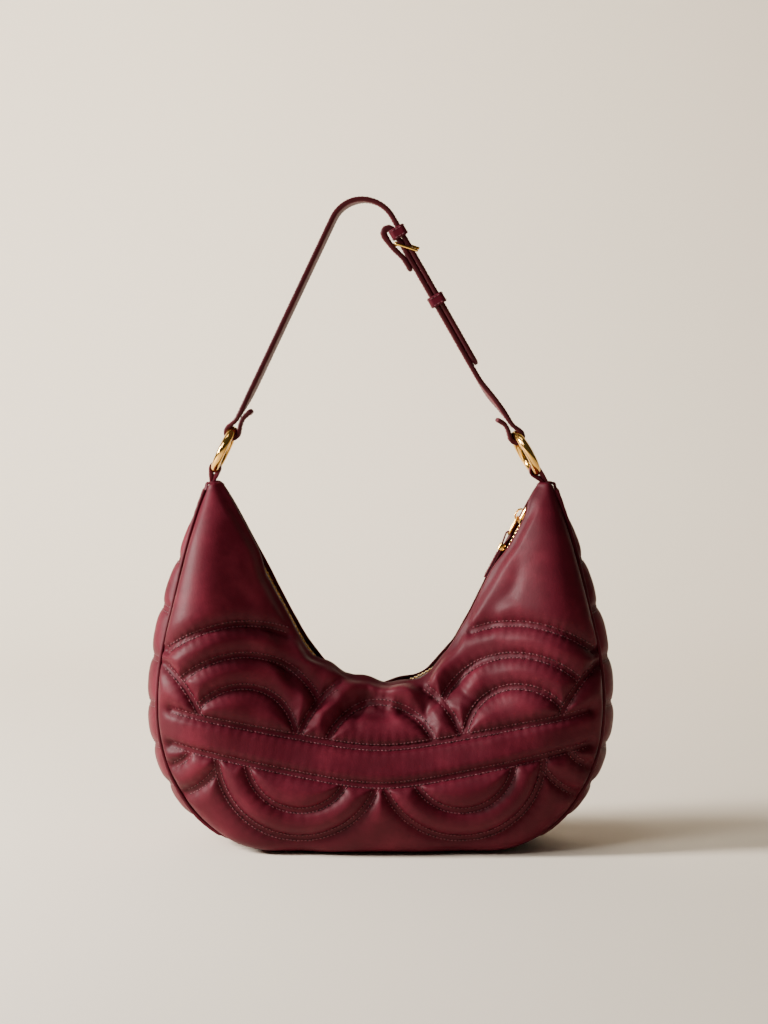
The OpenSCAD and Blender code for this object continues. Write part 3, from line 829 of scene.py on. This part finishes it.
def build_panel(side, seed, folds):
    """One quilted panel with its stitches, wadding and lining. The back one is built as a front one and mirrored."""
    surface, height, base, base_normals = panel_grid(side, seed, folds)
    normals = grid_normals(surface)
    sign = -1 if normals[..., 1].mean() > 0 else 1
    back = side == "back"
    shape = turned_edge(closed_tips(surface))
    inside = shape - grid_normals(shape) * sign * LEATHER_THICK
    if back:
        shape, inside = mirrored(shape), mirrored(inside)
    panel = sheet_object(side + "_leather", shape, inside, LEATHER, flip=back)
    # The padding's height, which the leather's colour turns into painted shade in the seams and painted highlight on
    # the tops.
    high = np.zeros(shape.shape[:2])
    high[TIP_STEPS:-TIP_STEPS, :height.shape[1]] = np.clip(height / PAD, -0.4, 1.2)
    mark_height(panel, high)
    attach(panel, "bag", side + "_panel")
    seam_stitches(side + "_quilt_stitches", surface, normals * sign, back)
    inner_layers(side, base, base_normals, height, back)


def lowest_near(height):
    """The lowest height within a few grid steps of each point."""
    reach = 6
    low = height
    for axis in (0, 1):
        padded = np.pad(low, [(reach, reach) if k == axis else (0, 0) for k in (0, 1)], mode="edge")
        shifts = [np.take(padded, np.arange(k, k + height.shape[axis]), axis) for k in range(2 * reach + 1)]
        low = np.min(shifts, axis=0)
    return low


def inner_layer(name, node, slot, outside, inside, flip):
    """A layer of wadding or lining between two grids of points."""
    piece = sheet_object(name, outside, inside, {"wadding": WADDING, "lining": LINING}[slot], flip)
    attach(piece, "bag", node)


def inner_layers(side, base, base_normals, height, back):
    """Wadding and lining behind the quilted leather, from its deepest points inwards."""
    rows, cols = slice(16, -16, 4), slice(5, -10, 3)
    p, n = base[rows, cols], base_normals[rows, cols]
    low = lowest_near(height)[rows, cols, None]
    for slot, node, start, end in (("wadding", side + "_padding", LEATHER_THICK + 0.8, 5.4),
                                   ("lining", "lining_" + side, 5.8, 6.6)):
        outside, inside = p + n * (low - start), p + n * (low - end)
        if back:
            outside, inside = mirrored(outside), mirrored(inside)
        inner_layer(side + "_" + slot, node, slot, outside, inside, back)


build_panel("front", 3.1, FRONT_FOLDS)
BACK_FOLDS = [(-a[0], a[1], -a[2], a[3], a[4] * 0.8, a[5]) for a in FRONT_FOLDS]
build_panel("back", 27.4, BACK_FOLDS)

# ---------- gusset ----------

GUSSET_PAD = 2.6                   # how far the gusset's padding swells between its seams
CROSS_SPACING = 34.0               # between the seams that cross the gusset


def drift(s):
    """How far the cross seams stray from even spacing, as a share of it."""
    return 0.10 * np.sin(s * 0.031)


def build_gusset():
    """The strip round the sides and under the bag: padded and sewn across on the sides, plain under the base."""
    u_line = np.linspace(-1, 1, 661)
    u_line = np.where(np.abs(u_line) < 1e-6, 1e-6, u_line)
    u, w = np.meshgrid(u_line, np.linspace(-1, 1, 41), indexing="ij")
    base = gusset_base(u, w)
    s = arc_lengths(gusset_base(u_line, np.zeros_like(u_line)))
    s -= s[len(s) // 2]
    t = np.abs(u)
    normals = grid_normals(base)
    out = outer_normal(t)
    outward = np.stack([np.sign(u) * out[..., 0], np.zeros_like(u), out[..., 1]], -1)
    facing = np.sign((normals * outward).sum(-1).mean())
    normals = normals * facing

    phase = (s / CROSS_SPACING + drift(s)) % 1.0
    cross = np.minimum(phase, 1 - phase)[:, None] * CROSS_SPACING
    edge = (1 - np.abs(w)) * gusset_width(t)
    on_side = smooth((t - 0.27) / 0.08) * (1 - smooth((t - 0.93) / 0.05))
    d_cross = np.where(on_side > 0.02, cross + (1 - on_side) * 12, 12)
    d = np.minimum(d_cross, edge + ROW_GAP)
    h = GUSSET_PAD * dome(np.clip((d - ROW_GAP) / 13.0, 0, 1)) - GUSSET_PAD + 0.8
    h += 0.35 * np.clip(1 - (d / ROW_GAP) ** 2, 0, 1)
    flat = base.reshape(-1, 3)
    h += (0.7 * lumps(flat, 0.02, 61.0) + 0.2 * lumps(flat, 0.09, 12.0)).reshape(h.shape)
    flat_base = 1 - smooth((t - 0.20) / 0.08)
    h = h * (1 - flat_base) * (1 - 0.6 * smooth((t - 0.9) / 0.1)) - flat_base * 0.4 - 0.1

    surface = base + h[..., None] * normals
    shape = with_tips(surface, gusset_tip)
    inside = shape - grid_normals(shape) * facing * LEATHER_THICK
    gusset = sheet_object("gusset_leather", shape, inside, LEATHER, flip=facing < 0)
    # The padding's height, which the leather's colour turns into painted shade in the seams and painted highlight on
    # the tops.
    high = np.zeros(shape.shape[:2])
    high[TIP_STEPS:-TIP_STEPS] = np.clip((h + GUSSET_PAD) / GUSSET_PAD, -0.4, 1.2)
    mark_height(gusset, high)
    attach(gusset, "bag", "gusset")
    gusset_stitches(surface, normals, s, t[:, 0])
    p, n = surface[26:-26:5, 7:-7:3], normals[26:-26:5, 7:-7:3]
    for slot, node, start, end in (("wadding", "gusset_padding", 2.0, 4.6), ("lining", "lining_gusset", 5.0, 5.8)):
        inner_layer("gusset_" + slot, node, slot, p - n * start, p - n * end, facing < 0)


def gusset_tip(edge, a):
    p = edge.copy()
    p[:, 0] = edge[:, 0] - np.sign(edge[:, 0]) * 2.2 * (1 - math.cos(a))
    p[:, 1] = edge[:, 1] * (0.4 + 0.6 * math.cos(a))
    p[:, 2] = edge[:, 2] + 3.0 * math.sin(a)
    return p


def gusset_stitches(surface, normals, s, t):
    """Double rows across the gusset, and one row along each of its edges."""
    rows = []

    def nearest(at, known, count):
        return np.clip(np.round(np.interp(at, known, np.arange(count))).astype(int), 0, count - 1)

    half = int(s[-1] // CROSS_SPACING)
    for k in range(-half, half + 1):
        for side in (-ROW_GAP, ROW_GAP):
            i = int(np.argmin(np.abs(s + CROSS_SPACING * drift(s) - k * CROSS_SPACING - side)))
            if 0.31 < t[i] < 0.93:
                line = resample(surface[i], STITCH_PITCH)[1:-1]
                up = normals[i, nearest(line[:, 1], surface[i, :, 1], surface.shape[1])]
                rows.append((line + up * THREAD_LIFT, tangents(line), up))
    for edge in (2, surface.shape[1] - 3):
        row = surface[:, edge]
        line = resample(row, STITCH_PITCH)[3:-3]
        arc = arc_lengths(row)
        at = nearest(np.linspace(0, arc[-1], len(line) + 6)[3:-3], arc, len(row))
        up, keep = normals[at, edge], t[at] > 0.29
        rows.append(((line + up * THREAD_LIFT)[keep], tangents(line)[keep], up[keep]))
    sew("gusset_stitches", "bag", rows)


build_gusset()


def build_piping(side):
    """A rolled leather cord sewn into the seam between a panel and the gusset."""
    u = np.linspace(-0.995, 0.995, 420)
    t = np.abs(u)
    p = seam(t)
    path = np.stack([np.sign(u) * p[:, 0], -gusset_width(t) - 0.3, p[:, 1]], -1)
    n = outer_normal(t)
    side_axis = np.stack([np.sign(u) * n[:, 0], np.zeros_like(u), n[:, 1]], -1)
    lift = np.where(t < 0.3, 0.4, 0.9)[:, None]
    path = path + side_axis * lift
    path[:, 2] = np.maximum(path[:, 2], 1.9)
    swell = 1 + 0.05 * np.sin(np.arange(len(u)) * 1.7) + 0.04 * np.sin(np.arange(len(u)) * 0.53)
    if side == "back":
        path = mirrored(path)
    piping = sweep(side + "_rolled_piping", path, side_axis, tube_section(1.5), LEATHER,
                   scale=np.stack([swell, swell], -1))
    attach(piping, "bag", side + "_piping")


build_piping("front")
build_piping("back")

# ---------- base panel ----------


def build_base():
    """The sewn-on base: a flat leather plate with a rounded rim and a row of stitches inside its edge."""
    outline = rounded_section(2 * BASE_HALF + 8, 2 * GUSSET_HALF - 6, 20, 12)
    n = len(outline)
    inward = unit(-outline)
    rings = [(4.0, 2.0), (0.7, 2.0), (0.0, 1.6), (0.0, 0.7), (0.5, 0.1), (1.4, 0.0), (30.0, 0.0)]
    verts = np.vstack([np.column_stack([outline + inward * step, np.full(n, z)]) for step, z in rings])
    faces = grid_faces(len(rings), n, True).tolist()
    faces += [list(range(n))[::-1], list(range(len(verts) - n, len(verts)))]
    base = make_mesh("base_leather", verts, faces, LEATHER)
    attach(base, "bag", "base_panel")
    row = resample(outline * 0.93, STITCH_PITCH, closed=True)
    level = np.zeros(len(row))
    sew("base_stitches", "bag", [(np.column_stack([row, level + 0.35]),
                                  np.column_stack([tangents(row, closed=True), level]),
                                  np.tile([0, 0, -1.0], (len(row), 1)))])


build_base()

# ---------- strap ----------

STRAP_WIDTH = 14.0
STRAP_THICK = 3.7
PLAY = 0.35                        # room between leather and the metal or leather that it goes round
ARCH_RADIUS = 24.0
LEFT_SLOPE = math.radians(64.4)
RIGHT_SLOPE = math.radians(60.2)
RUN_START = np.array([8.5, 456.7])
RUN_DIR = np.array([math.cos(RIGHT_SLOPE), -math.sin(RIGHT_SLOPE)])
RUN_OUT = np.array([math.sin(RIGHT_SLOPE), math.cos(RIGHT_SLOPE)])
RISE_DIR = np.array([math.cos(LEFT_SLOPE), math.sin(LEFT_SLOPE)])
RISE_OUT = np.array([-math.sin(LEFT_SLOPE), math.cos(LEFT_SLOPE)])
INNER_LINE = -3.85                 # the buckle strap's line, from the long strap's
RING_R = 15.4
RING_WIRE = 3.0
RING_SLOPE = math.radians(61)
RING_DIR = np.array([math.cos(RING_SLOPE), -math.sin(RING_SLOPE)])
RING_OUT = np.array([math.sin(RING_SLOPE), math.cos(RING_SLOPE)])
LEFT_RING = np.array([-113.6, 288.4])
RIGHT_RING = np.array([105.4, 285.6])
LEFT_WIRE = LEFT_RING + RING_R * RISE_DIR
RIGHT_WIRE = RIGHT_RING - RING_R * RING_DIR
LEAN = 9.0                         # degrees the strap leans about its run
FOLD_THICK = 0.8                   # share of the strap's thickness left where it is folded
FOLD_R = RING_WIRE + PLAY + STRAP_THICK * FOLD_THICK / 2
ARCH_MIDDLE = RUN_START - ARCH_RADIUS * RUN_OUT


def on_run(s, n=0.0):
    """A point at a length s down the strap's right-hand run and a distance n out of it."""
    return RUN_START + s * RUN_DIR + n * RUN_OUT


def by_left_wire(s, n):
    return LEFT_WIRE + s * RISE_DIR + n * RISE_OUT


def by_right_wire(s, n):
    return RIGHT_WIRE - s * RING_DIR + n * RING_OUT


def arch_point(a):
    return ARCH_MIDDLE + ARCH_RADIUS * np.array([math.sin(a), math.cos(a)])


def left_loop(a):
    return LEFT_WIRE + FOLD_R * (math.cos(a) * RISE_OUT - math.sin(a) * RISE_DIR)


def right_loop(a):
    return RIGHT_WIRE + FOLD_R * (math.cos(a) * RING_OUT + math.sin(a) * RING_DIR)


def curve(a, b, c, d, steps):
    return list(bezier(a, b, c, d, np.arange(1, steps + 1) / steps))


def turn(start, stop, step):
    """Angles from start to stop, given in degrees."""
    count = int(round(abs(stop - start) / abs(step)))
    return [math.radians(start + (stop - start) * k / count) for k in range(count + 1)]


def long_strap_line():
    bend = by_left_wire(40, 0)
    start = arch_point(-LEFT_SLOPE)
    line = [by_left_wire(19.5, -6.4), by_left_wire(14.5, -4.0)]
    line += curve(line[1], by_left_wire(10, -1.4), by_left_wire(6.5, -3.0), left_loop(math.pi), 8)
    line += [left_loop(a) for a in turn(165, 0, 15)]
    line += curve(left_loop(0), left_loop(0) + 3 * RISE_DIR, by_left_wire(5.0, 1.1), by_left_wire(11, 1.1), 8)
    line += curve(line[-1], by_left_wire(19, 0.4), by_left_wire(28, 0), bend, 6)
    line += [bend + (start - bend) * k / 3 for k in (1, 2, 3)]
    line += [arch_point(math.radians(a)) for a in np.arange(-58.4, 57.3, 6)]
    line += [on_run(123 * k / 4) for k in range(5)]
    return np.array(line)


HEEL_R = 3.6                       # the buckle strap's fold round the buckle's bar
HEEL_AT = on_run(9, INNER_LINE - 4.4)
FOLD_LINE = INNER_LINE - 3.8       # the folded-back end lies this far below the long strap's line


def heel_loop(a):
    return HEEL_AT + HEEL_R * (math.cos(a) * RUN_OUT - math.sin(a) * RUN_DIR)


def buckle_strap_line():
    bend = on_run(130, INNER_LINE)
    line = [on_run(41, FOLD_LINE), on_run(32, FOLD_LINE)]
    line += curve(line[1], on_run(27, FOLD_LINE), heel_loop(math.pi) + 13 * RUN_DIR, heel_loop(math.pi), 8)
    line += [heel_loop(a) for a in turn(165, 0, 15)]
    straight = on_run(21, INNER_LINE)
    line += [straight + (bend - straight) * k / 5 for k in range(6)]
    line += curve(bend, bend + 16 * RUN_DIR, by_right_wire(24, 0.4), by_right_wire(11, 1.1), 8)
    line += curve(line[-1], by_right_wire(5.0, 1.1), right_loop(0) - 3 * RING_DIR, right_loop(0), 8)
    line += [right_loop(a) for a in turn(15, 180, 15)]
    line += curve(right_loop(math.pi), by_right_wire(6.5, -3.0), by_right_wire(9, -1.8), by_right_wire(13, -4.4), 8)
    line += [by_right_wire(17, -7.0)]
    return np.array(line)


def in_space(line):
    return np.stack([line[:, 0], np.zeros(len(line)), line[:, 1]], -1)


def hugged(points, wire, away):
    """Leather folded round a ring follows the ring's curve, so its edges lie nearer the ring's centre."""
    s = (points[:, [0, 2]] - wire) @ away
    edge = RING_R - np.sqrt(RING_R ** 2 - np.minimum(points[:, 1] ** 2, 60))
    drop = edge * (1 - smooth((s - 1) / 11))
    return points - drop[:, None] * np.array([away[0], 0, away[1]])


def leaned(points, path, share):
    """The strap leans a little about its own run, so its inner face shows from the front."""
    outward = np.cross([0, 1.0, 0], tangents(path))
    flip = np.sign(np.sum(outward * (path - np.array([0, 0, 300.0])), axis=1))
    outward *= flip[:, None]
    tree = kdtree.KDTree(len(path))
    for index, p in enumerate(path):
        tree.insert((p[0], 0, p[2]), index)
    tree.balance()
    near = [tree.find((p[0], 0, p[2]))[1] for p in points]
    shift = -points[:, 1] * math.tan(math.radians(LEAN)) * share[near]
    return points + outward[near] * shift[:, None]


def lean_share(path, from_wire):
    """Where the strap leans: on its free runs, and not at the rings, the buckle or the keepers."""
    x = path[:, 0]
    return smooth((from_wire - 9) / 24) * np.maximum(smooth((0 - x) / 24), smooth((x - 70) / 10))


def edit_points(obj, change):
    """Moves a mesh object's points, in millimetres, by a function of all of them."""
    flat = np.empty(len(obj.data.vertices) * 3)
    obj.data.vertices.foreach_get("co", flat)
    moved = change(flat.reshape(-1, 3) / MM) * MM
    obj.data.vertices.foreach_set("co", moved.reshape(-1))
    obj.data.update()


def build_strap(name, node, line, round_start, round_end, wire, away):
    """A flat strap with soft, painted edges, rounded ends and a row of stitches near each edge."""
    path = resample(smoothed(resample(in_space(line), 0.6), 2), 0.8)
    s = arc_lengths(path)
    ends = np.ones(len(path))
    for near, radius in ((s, round_start), (s[-1] - s, round_end)):
        x = np.clip(near / radius, 0, 1)
        ends = np.minimum(ends, np.sqrt(np.clip(1 - (1 - x) ** 2, 0.02, 1)))
    thin = 0.55 + 0.45 * smooth(np.minimum(s, s[-1] - s) / 1.5)
    from_wire = np.linalg.norm(path[:, [0, 2]] - wire, axis=1)
    thin *= FOLD_THICK + (1 - FOLD_THICK) * smooth((from_wire - 7) / 12)
    thin *= 1 + 0.45 * np.exp(-(np.linalg.norm(path[:, [0, 2]] - HEEL_AT, axis=1) / 5) ** 2)
    ripple = 1 + 0.03 * np.sin(s * 0.9) * np.sin(s * 0.23)
    section = rounded_section(STRAP_WIDTH, STRAP_THICK, 1.3)
    strap = sweep(name, path, (0, 1, 0), section, STRAP_LEATHER, scale=np.stack([ends, thin * ripple], -1))
    strap.data.materials.append(EDGE_PAINT)
    ys = np.array([v.co.y for v in strap.data.vertices]) / MM
    for polygon in strap.data.polygons:
        if min(abs(ys[k]) for k in polygon.vertices) > STRAP_WIDTH / 2 - 0.8:
            polygon.material_index = 1
    share = lean_share(path, from_wire)
    attach(strap, "handle", node)
    for piece in (strap, strap_stitches(name + "_stitches", path, s, thin)):
        edit_points(piece, lambda points: hugged(leaned(points, path, share), wire, away))


def strap_stitches(name, path, s, thin):
    """A row of stitches near each edge, on both faces."""
    tangent = tangents(path)
    normal = np.cross(tangent, [0, 1.0, 0])
    index = np.clip(np.searchsorted(s, np.arange(3.0, s[-1] - 3.0, 2.6)), 0, len(path) - 1)
    lift = (STRAP_THICK / 2 * thin[index] - 0.08)[:, None]
    rows = [(path[index] + [0, side * (STRAP_WIDTH / 2 - 1.9), 0] + normal[index] * face * lift,
             tangent[index], normal[index] * face) for face in (-1, 1) for side in (-1, 1)]
    return sew(name, "handle", rows, 0.9, 0.34)


build_strap("long_strap_leather", "long_strap", long_strap_line(), 2.0, 7.0, LEFT_WIRE, RISE_DIR)
build_strap("buckle_strap_leather", "buckle_strap", buckle_strap_line(), 2.0, 2.0, RIGHT_WIRE, -RING_DIR)


def build_keeper(name, node, body, s):
    """A leather loop round both straps, stitched near both of its edges."""
    out, run, centre = (np.array([p[0], 0, p[1]]) for p in (RUN_OUT, RUN_DIR, on_run(s, INNER_LINE / 2)))
    half_n = (STRAP_THICK * 2 + 0.8) / 2 + PLAY + 0.8
    half_y = STRAP_WIDTH / 2 + 1.1
    loop = rounded_section(2 * half_y, 2 * half_n, 2.0, 6)
    path = resample(centre + loop[:, :1] * [0, 1.0, 0] + loop[:, 1:] * out, 0.9, closed=True)
    keeper = sweep(name, path, run, rounded_section(8.0, 1.6, 0.75), STRAP_LEATHER, closed=True)
    attach(keeper, body, node)
    tangent = tangents(path, closed=True)
    normal = np.cross(tangent, run)
    normal = normal * np.sign(((path - centre) * normal).sum(1).mean())
    pick = np.arange(0, len(path), 3)
    sew(name + "_stitches", body, [(path[pick] + run * side * 2.7 + normal[pick] * 0.82, tangent[pick], normal[pick])
                                   for side in (-1, 1)], 0.9, 0.3)


build_keeper("upper_keeper_leather", "fixed_keeper", "handle", 11.8)
build_keeper("lower_keeper_leather", "sliding_keeper", "keeper", 68.0)

# ---------- ring tabs ----------

TIP_X = 122.7
ROOT_Z = HORN + 2.1
TAB_THICK = 1.3
TAB_PINCH = 4.4                    # from the ring's wire to where the two legs meet


def build_tab(name, node, wire, root):
    """A leather band folded round the ring's lower wire, its two legs sewn together down to the horn's tip."""
    root = np.array(root)
    length = np.linalg.norm(root - wire)
    down = (root - wire) / length
    out = np.array([-down[1], down[0]])
    radius = RING_WIRE + PLAY + TAB_THICK / 2
    side = []
    for share in np.arange(9) / 8:
        half = 1.7 + 2.0 * share
        side.append((length - 0.2 - (length - 0.2 - TAB_PINCH) * share, half / 2, half * 1.04))
    loop = [(-radius * math.sin(a), radius * math.cos(a), TAB_THICK) for a in np.radians(np.arange(-18, 199, 12))]
    rows = side + loop + [(at, -n, thick) for at, n, thick in side[::-1]]
    raw = np.array([[*(wire + at * down + n * out), thick] for at, n, thick in rows])
    raw = smoothed(resample(raw, 0.5), 3)
    from_root = np.clip(((raw[:, :2] - root) @ -down) / length, 0, 1)
    width = 3.2 + 7.6 * smooth((from_root - 0.12) / 0.8)
    tab = sweep(name, in_space(raw), (0, 1, 0), rounded_section(1.0, 1.0, 0.3), STRAP_LEATHER,
                scale=np.stack([width, raw[:, 2]], -1))
    edit_points(tab, lambda points: hugged(points, wire, down))
    attach(tab, "handle", node)


LEFT_LOW = LEFT_RING - RING_R * RISE_DIR
RIGHT_LOW = RIGHT_RING + RING_R * RING_DIR
build_tab("left_tab_leather", "left_ring_tab", LEFT_LOW, (-TIP_X, ROOT_Z))
build_tab("right_tab_leather", "right_ring_tab", RIGHT_LOW, (TIP_X - 2, ROOT_Z))

# ---------- zip ----------

ZIP_RECESS = 2.5
SLIDER_AT = OPENING - 24
TEETH_TOP = SLIDER_AT - 2.5
TEETH_BOTTOM = -(OPENING - 22)
TOOTH_PITCH = 3.0


def zip_frame(s):
    """The point, the direction along the zip and the direction out of it, at a length s along it."""
    sign = 1.0 if s >= 0 else -1.0
    p = opening_point(abs(s), ZIP_RECESS)
    a = sign * min(abs(s) / SAG_RADIUS, SLOPE)
    return (np.array([sign * p[0], 0, p[1]]), np.array([math.cos(a), 0, math.sin(a)]),
            np.array([-math.sin(a), 0, math.cos(a)]))


def zip_points(s, local):
    centre, along, out = zip_frame(s)
    local = np.asarray(local, float)
    return centre + local[:, :1] * along + local[:, 1:2] * np.array([0, 1.0, 0]) + local[:, 2:] * out


def extruded(outline, low, high, inset=0.25):
    """A plate from an outline in its own X and Y, with its top and bottom edges drawn in a little."""
    outline = np.asarray(outline, float)
    n = len(outline)
    d = tangents(outline, closed=True)
    inward = np.stack([-d[:, 1], d[:, 0]], -1) * inset
    layers = [(outline + inward, low), (outline, low + inset), (outline, high - inset), (outline + inward, high)]
    points = np.vstack([np.column_stack([p, np.full(n, z)]) for p, z in layers])
    faces = [f[::-1] for f in grid_faces(4, n, True).tolist()]
    faces += [list(range(n))[::-1], [3 * n + k for k in range(n)]]
    return points, faces


def build_teeth(word, side, shift):
    """Zip teeth: a gripping foot on the tape's cord and a rounded head towards the other row."""
    count = int((TEETH_TOP - TEETH_BOTTOM) // TOOTH_PITCH)
    foot = [(0.5, -0.9), (0.66, 0.4), (0.72, 1.25), (0.4, 1.6)]
    outline = [(0.62 * math.cos(a), 0.62 * math.sin(a) - 1.45) for a in np.linspace(math.pi, TAU, 7)]
    outline += foot + [(-x, y) for x, y in foot[::-1]]
    points, faces = extruded(outline, -1.15, 1.15, 0.22)
    points[:, 1] = side * (points[:, 1] + 2.65)
    if side < 0:
        faces = [f[::-1] for f in faces]
    parts = [(zip_points(TEETH_BOTTOM + k * TOOTH_PITCH + shift, points), faces) for k in range(count)]
    attach(join_meshes(word + "_teeth", parts, BRASS), "bag", "zip_teeth_" + word)


build_teeth("front", -1, 0.0)
build_teeth("back", 1, TOOTH_PITCH / 2)


def build_slider():
    """The zip slider: two plates with side walls, a post between them and a bridge for the pull."""
    plate = [(-6.3, 3.2), (-3.0, 4.6), (1.5, 5.4), (5.0, 5.4), (6.5, 3.6), (6.5, 1.2)]
    outline = [(x, -y) for x, y in plate] + plate[::-1]
    wall = [(-3.4, 4.4), (5.0, 4.4), (5.0, 5.35), (1.5, 5.35), (-3.0, 4.9)]
    parts = []
    for low, high, wall_low, wall_high in ((-3.1, -1.7, -1.9, -0.6), (1.7, 3.1, 0.6, 1.9)):
        parts.append(extruded(outline, low, high, 0.35))
        parts.append(extruded([(x, -y) for x, y in wall], wall_low, wall_high, 0.15))
        parts.append(extruded(wall[::-1], wall_low, wall_high, 0.15))
    parts.append(extruded([(2.5, -0.45), (6.3, -0.5), (6.3, 0.5), (2.5, 0.45)], -1.9, 1.9, 0.1))
    body = join_meshes("slider_body", [(zip_points(SLIDER_AT, p), f) for p, f in parts], GOLD)
    arch = [(-4.7, 2.6), (-4.7, 4.6), (-4.3, 6.1), (-3.0, 6.9), (-0.5, 7.1), (1.9, 6.8), (3.1, 5.9), (3.5, 4.6),
            (3.5, 2.6)]
    path = resample(smoothed(resample(in_space(np.array(arch)), 0.4), 3), 0.4)
    bridge = sweep("slider_bridge", zip_points(SLIDER_AT, path), (0, 1, 0), rounded_section(2.4, 1.3, 0.5), GOLD)
    attach(body, "slider", "zip_slider")
    attach(bridge, "slider")


build_slider()

PULL_AXIS = (-2.6, 0, 4.7)
LINK_LENGTH = 16.0
LINK_WIDTH = 8.4
LINK_WIRE = 1.4
PULL_LENGTH = 36
TAB_X = PULL_AXIS[0] - LINK_LENGTH + LINK_WIRE


def build_pull():
    """The oval link, the gold collar and the long leather pull."""
    axis_z = PULL_AXIS[2]
    along, out = zip_frame(SLIDER_AT)[1:]

    straight = (LINK_LENGTH - LINK_WIDTH) / 2
    radius = (LINK_WIDTH - LINK_WIRE) / 2
    middle_x = PULL_AXIS[0] - LINK_LENGTH / 2 + LINK_WIRE / 2
    oval = [(middle_x + (radius * math.cos(a) + (straight if math.cos(a) > 0 else -straight)),
             radius * math.sin(a), axis_z) for a in np.radians(np.arange(0, 360, 10))]
    oval = resample(oval, 0.6, closed=True)
    oval_link = sweep("pull_oval_link", zip_points(SLIDER_AT, oval), out, tube_section(0.75), GOLD, closed=True)
    attach(oval_link, "pull_link", "zip_pull_link")

    ring = rounded_section(6.4, 3.9, 1.2, 5)
    ring = np.column_stack([np.full(len(ring), TAB_X - 10.5), ring[:, 0], ring[:, 1] + axis_z])
    path = resample(ring, 0.6, closed=True)
    collar = sweep("pull_collar", zip_points(SLIDER_AT, path), along, rounded_section(5.0, 1.1, 0.4), GOLD,
                   closed=True)
    attach(collar, "pull_tab", "zip_pull_collar")

    line = [(TAB_X - x, axis_z - 0.62) for x in (PULL_LENGTH, 20, 9)]
    line += [(TAB_X + 2.1 * math.sin(a), axis_z - 2.1 * math.cos(a)) for a in np.radians(range(-30, 211, 15))]
    line += [(TAB_X - x, axis_z + 0.62) for x in (9, 20, PULL_LENGTH)]
    path = resample(smoothed(resample(in_space(np.array(line)), 0.7), 4), 0.7)
    reach = np.clip((TAB_X - path[:, 0]) / PULL_LENGTH, 0, 1)
    width = 4.4 + 1.6 * smooth((reach - 0.3) / 0.5)
    end = np.clip((reach * PULL_LENGTH - 33.2) / 2.9, 0, 0.98)
    round_end = np.sqrt(np.clip(1 - end ** 2, 0, 1))
    pull = sweep("pull_leather", zip_points(SLIDER_AT, path), (0, 1, 0), rounded_section(1.0, 1.2, 0.3, 3),
                 STRAP_LEATHER, scale=np.stack([width * round_end, np.ones(len(path))], -1))
    attach(pull, "pull_tab", "zip_pull_tab")

    xs = np.arange(TAB_X - 33, TAB_X - 14, 2.4)
    rows = []
    for side in (-1, 1):
        for face in (-1, 1):
            local = np.column_stack([xs, np.full(len(xs), side * 1.9), np.full(len(xs), axis_z + face * 1.24)])
            rows.append((zip_points(SLIDER_AT, local), np.tile(along, (len(xs), 1)),
                         np.tile(face * out, (len(xs), 1))))
    sew("pull_stitches", "pull_tab", rows, 0.8, 0.26)


build_pull()

# ---------- stage, light and camera ----------


def build_stage():
    """A pale floor that curves up into a backdrop."""
    floor_material = plain_material("studio_paper", (0.88, 0.79, 0.66), (0.90, 0.81, 0.68), 0.9, 1.2)
    profile = [(-2600.0, 0.0), (900.0, 0.0)]
    profile += [(900 + 700 * math.sin(a), 700 - 700 * math.cos(a)) for a in np.radians(np.arange(6, 91, 6))]
    profile += [(1600.0, 3600.0)]
    x = np.array([-3200.0, 3200.0])
    grid = np.array([[(xx, y, z - 0.02) for xx in x] for y, z in profile])
    floor = make_mesh("studio_floor", grid.reshape(-1, 3), grid_faces(len(profile), 2)[:, ::-1], floor_material)


def area_light(name, place, target, size, power, colour):
    data = bpy.data.lights.new(name, "AREA")
    data.shape = "RECTANGLE"
    data.size, data.size_y = size
    data.energy = power
    data.color = colour
    light = link(bpy.data.objects.new(name, data))
    light.location = place
    light.rotation_euler = (Vector(target) - Vector(place)).to_track_quat("-Z", "Y").to_euler()
    return light


def build_lights():
    world = bpy.data.worlds.new("soft_room")
    bpy.context.scene.world = world
    world.use_nodes = True
    background = world.node_tree.nodes["Background"]
    background.inputs["Color"].default_value = (1.0, 0.95, 0.88, 1)
    background.inputs["Strength"].default_value = 0.06
    area_light("key", (-1.5, -0.26, 0.8), (0, 0, 0.2), (0.34, 0.5), 80, (1.0, 0.95, 0.90))
    area_light("fill", (-1.25, -1.05, 1.3), (-0.05, 0, 0.1), (0.6, 0.6), 17, (1.0, 0.96, 0.92))
    wash = area_light("backdrop_wash", (-1.1, 0.3, 2.0), (-0.5, 1.6, 0.35), (2.4, 0.8), 18, (1.0, 0.93, 0.83))
    wash.data.spread = math.radians(80)


SENSOR = 36                        # the long side of the camera's sensor
VIEW_HEIGHT = 0.745472             # metres that the picture's height covers at the bag


def build_camera():
    """The camera looks at the middle of the bag's height from a little above it."""
    distance, rise = 2.0, math.radians(4.6)
    target = Vector((0.0025, 0.0, 0.2428))
    data = bpy.data.cameras.new("camera")
    data.lens = SENSOR * distance / VIEW_HEIGHT
    data.sensor_width = SENSOR
    camera = link(bpy.data.objects.new("camera", data))
    camera.location = target + Vector((0, -distance * math.cos(rise), distance * math.sin(rise)))
    camera.rotation_euler = (target - camera.location).to_track_quat("-Z", "Y").to_euler()
    bpy.context.scene.camera = camera


build_stage()
build_lights()
build_camera()
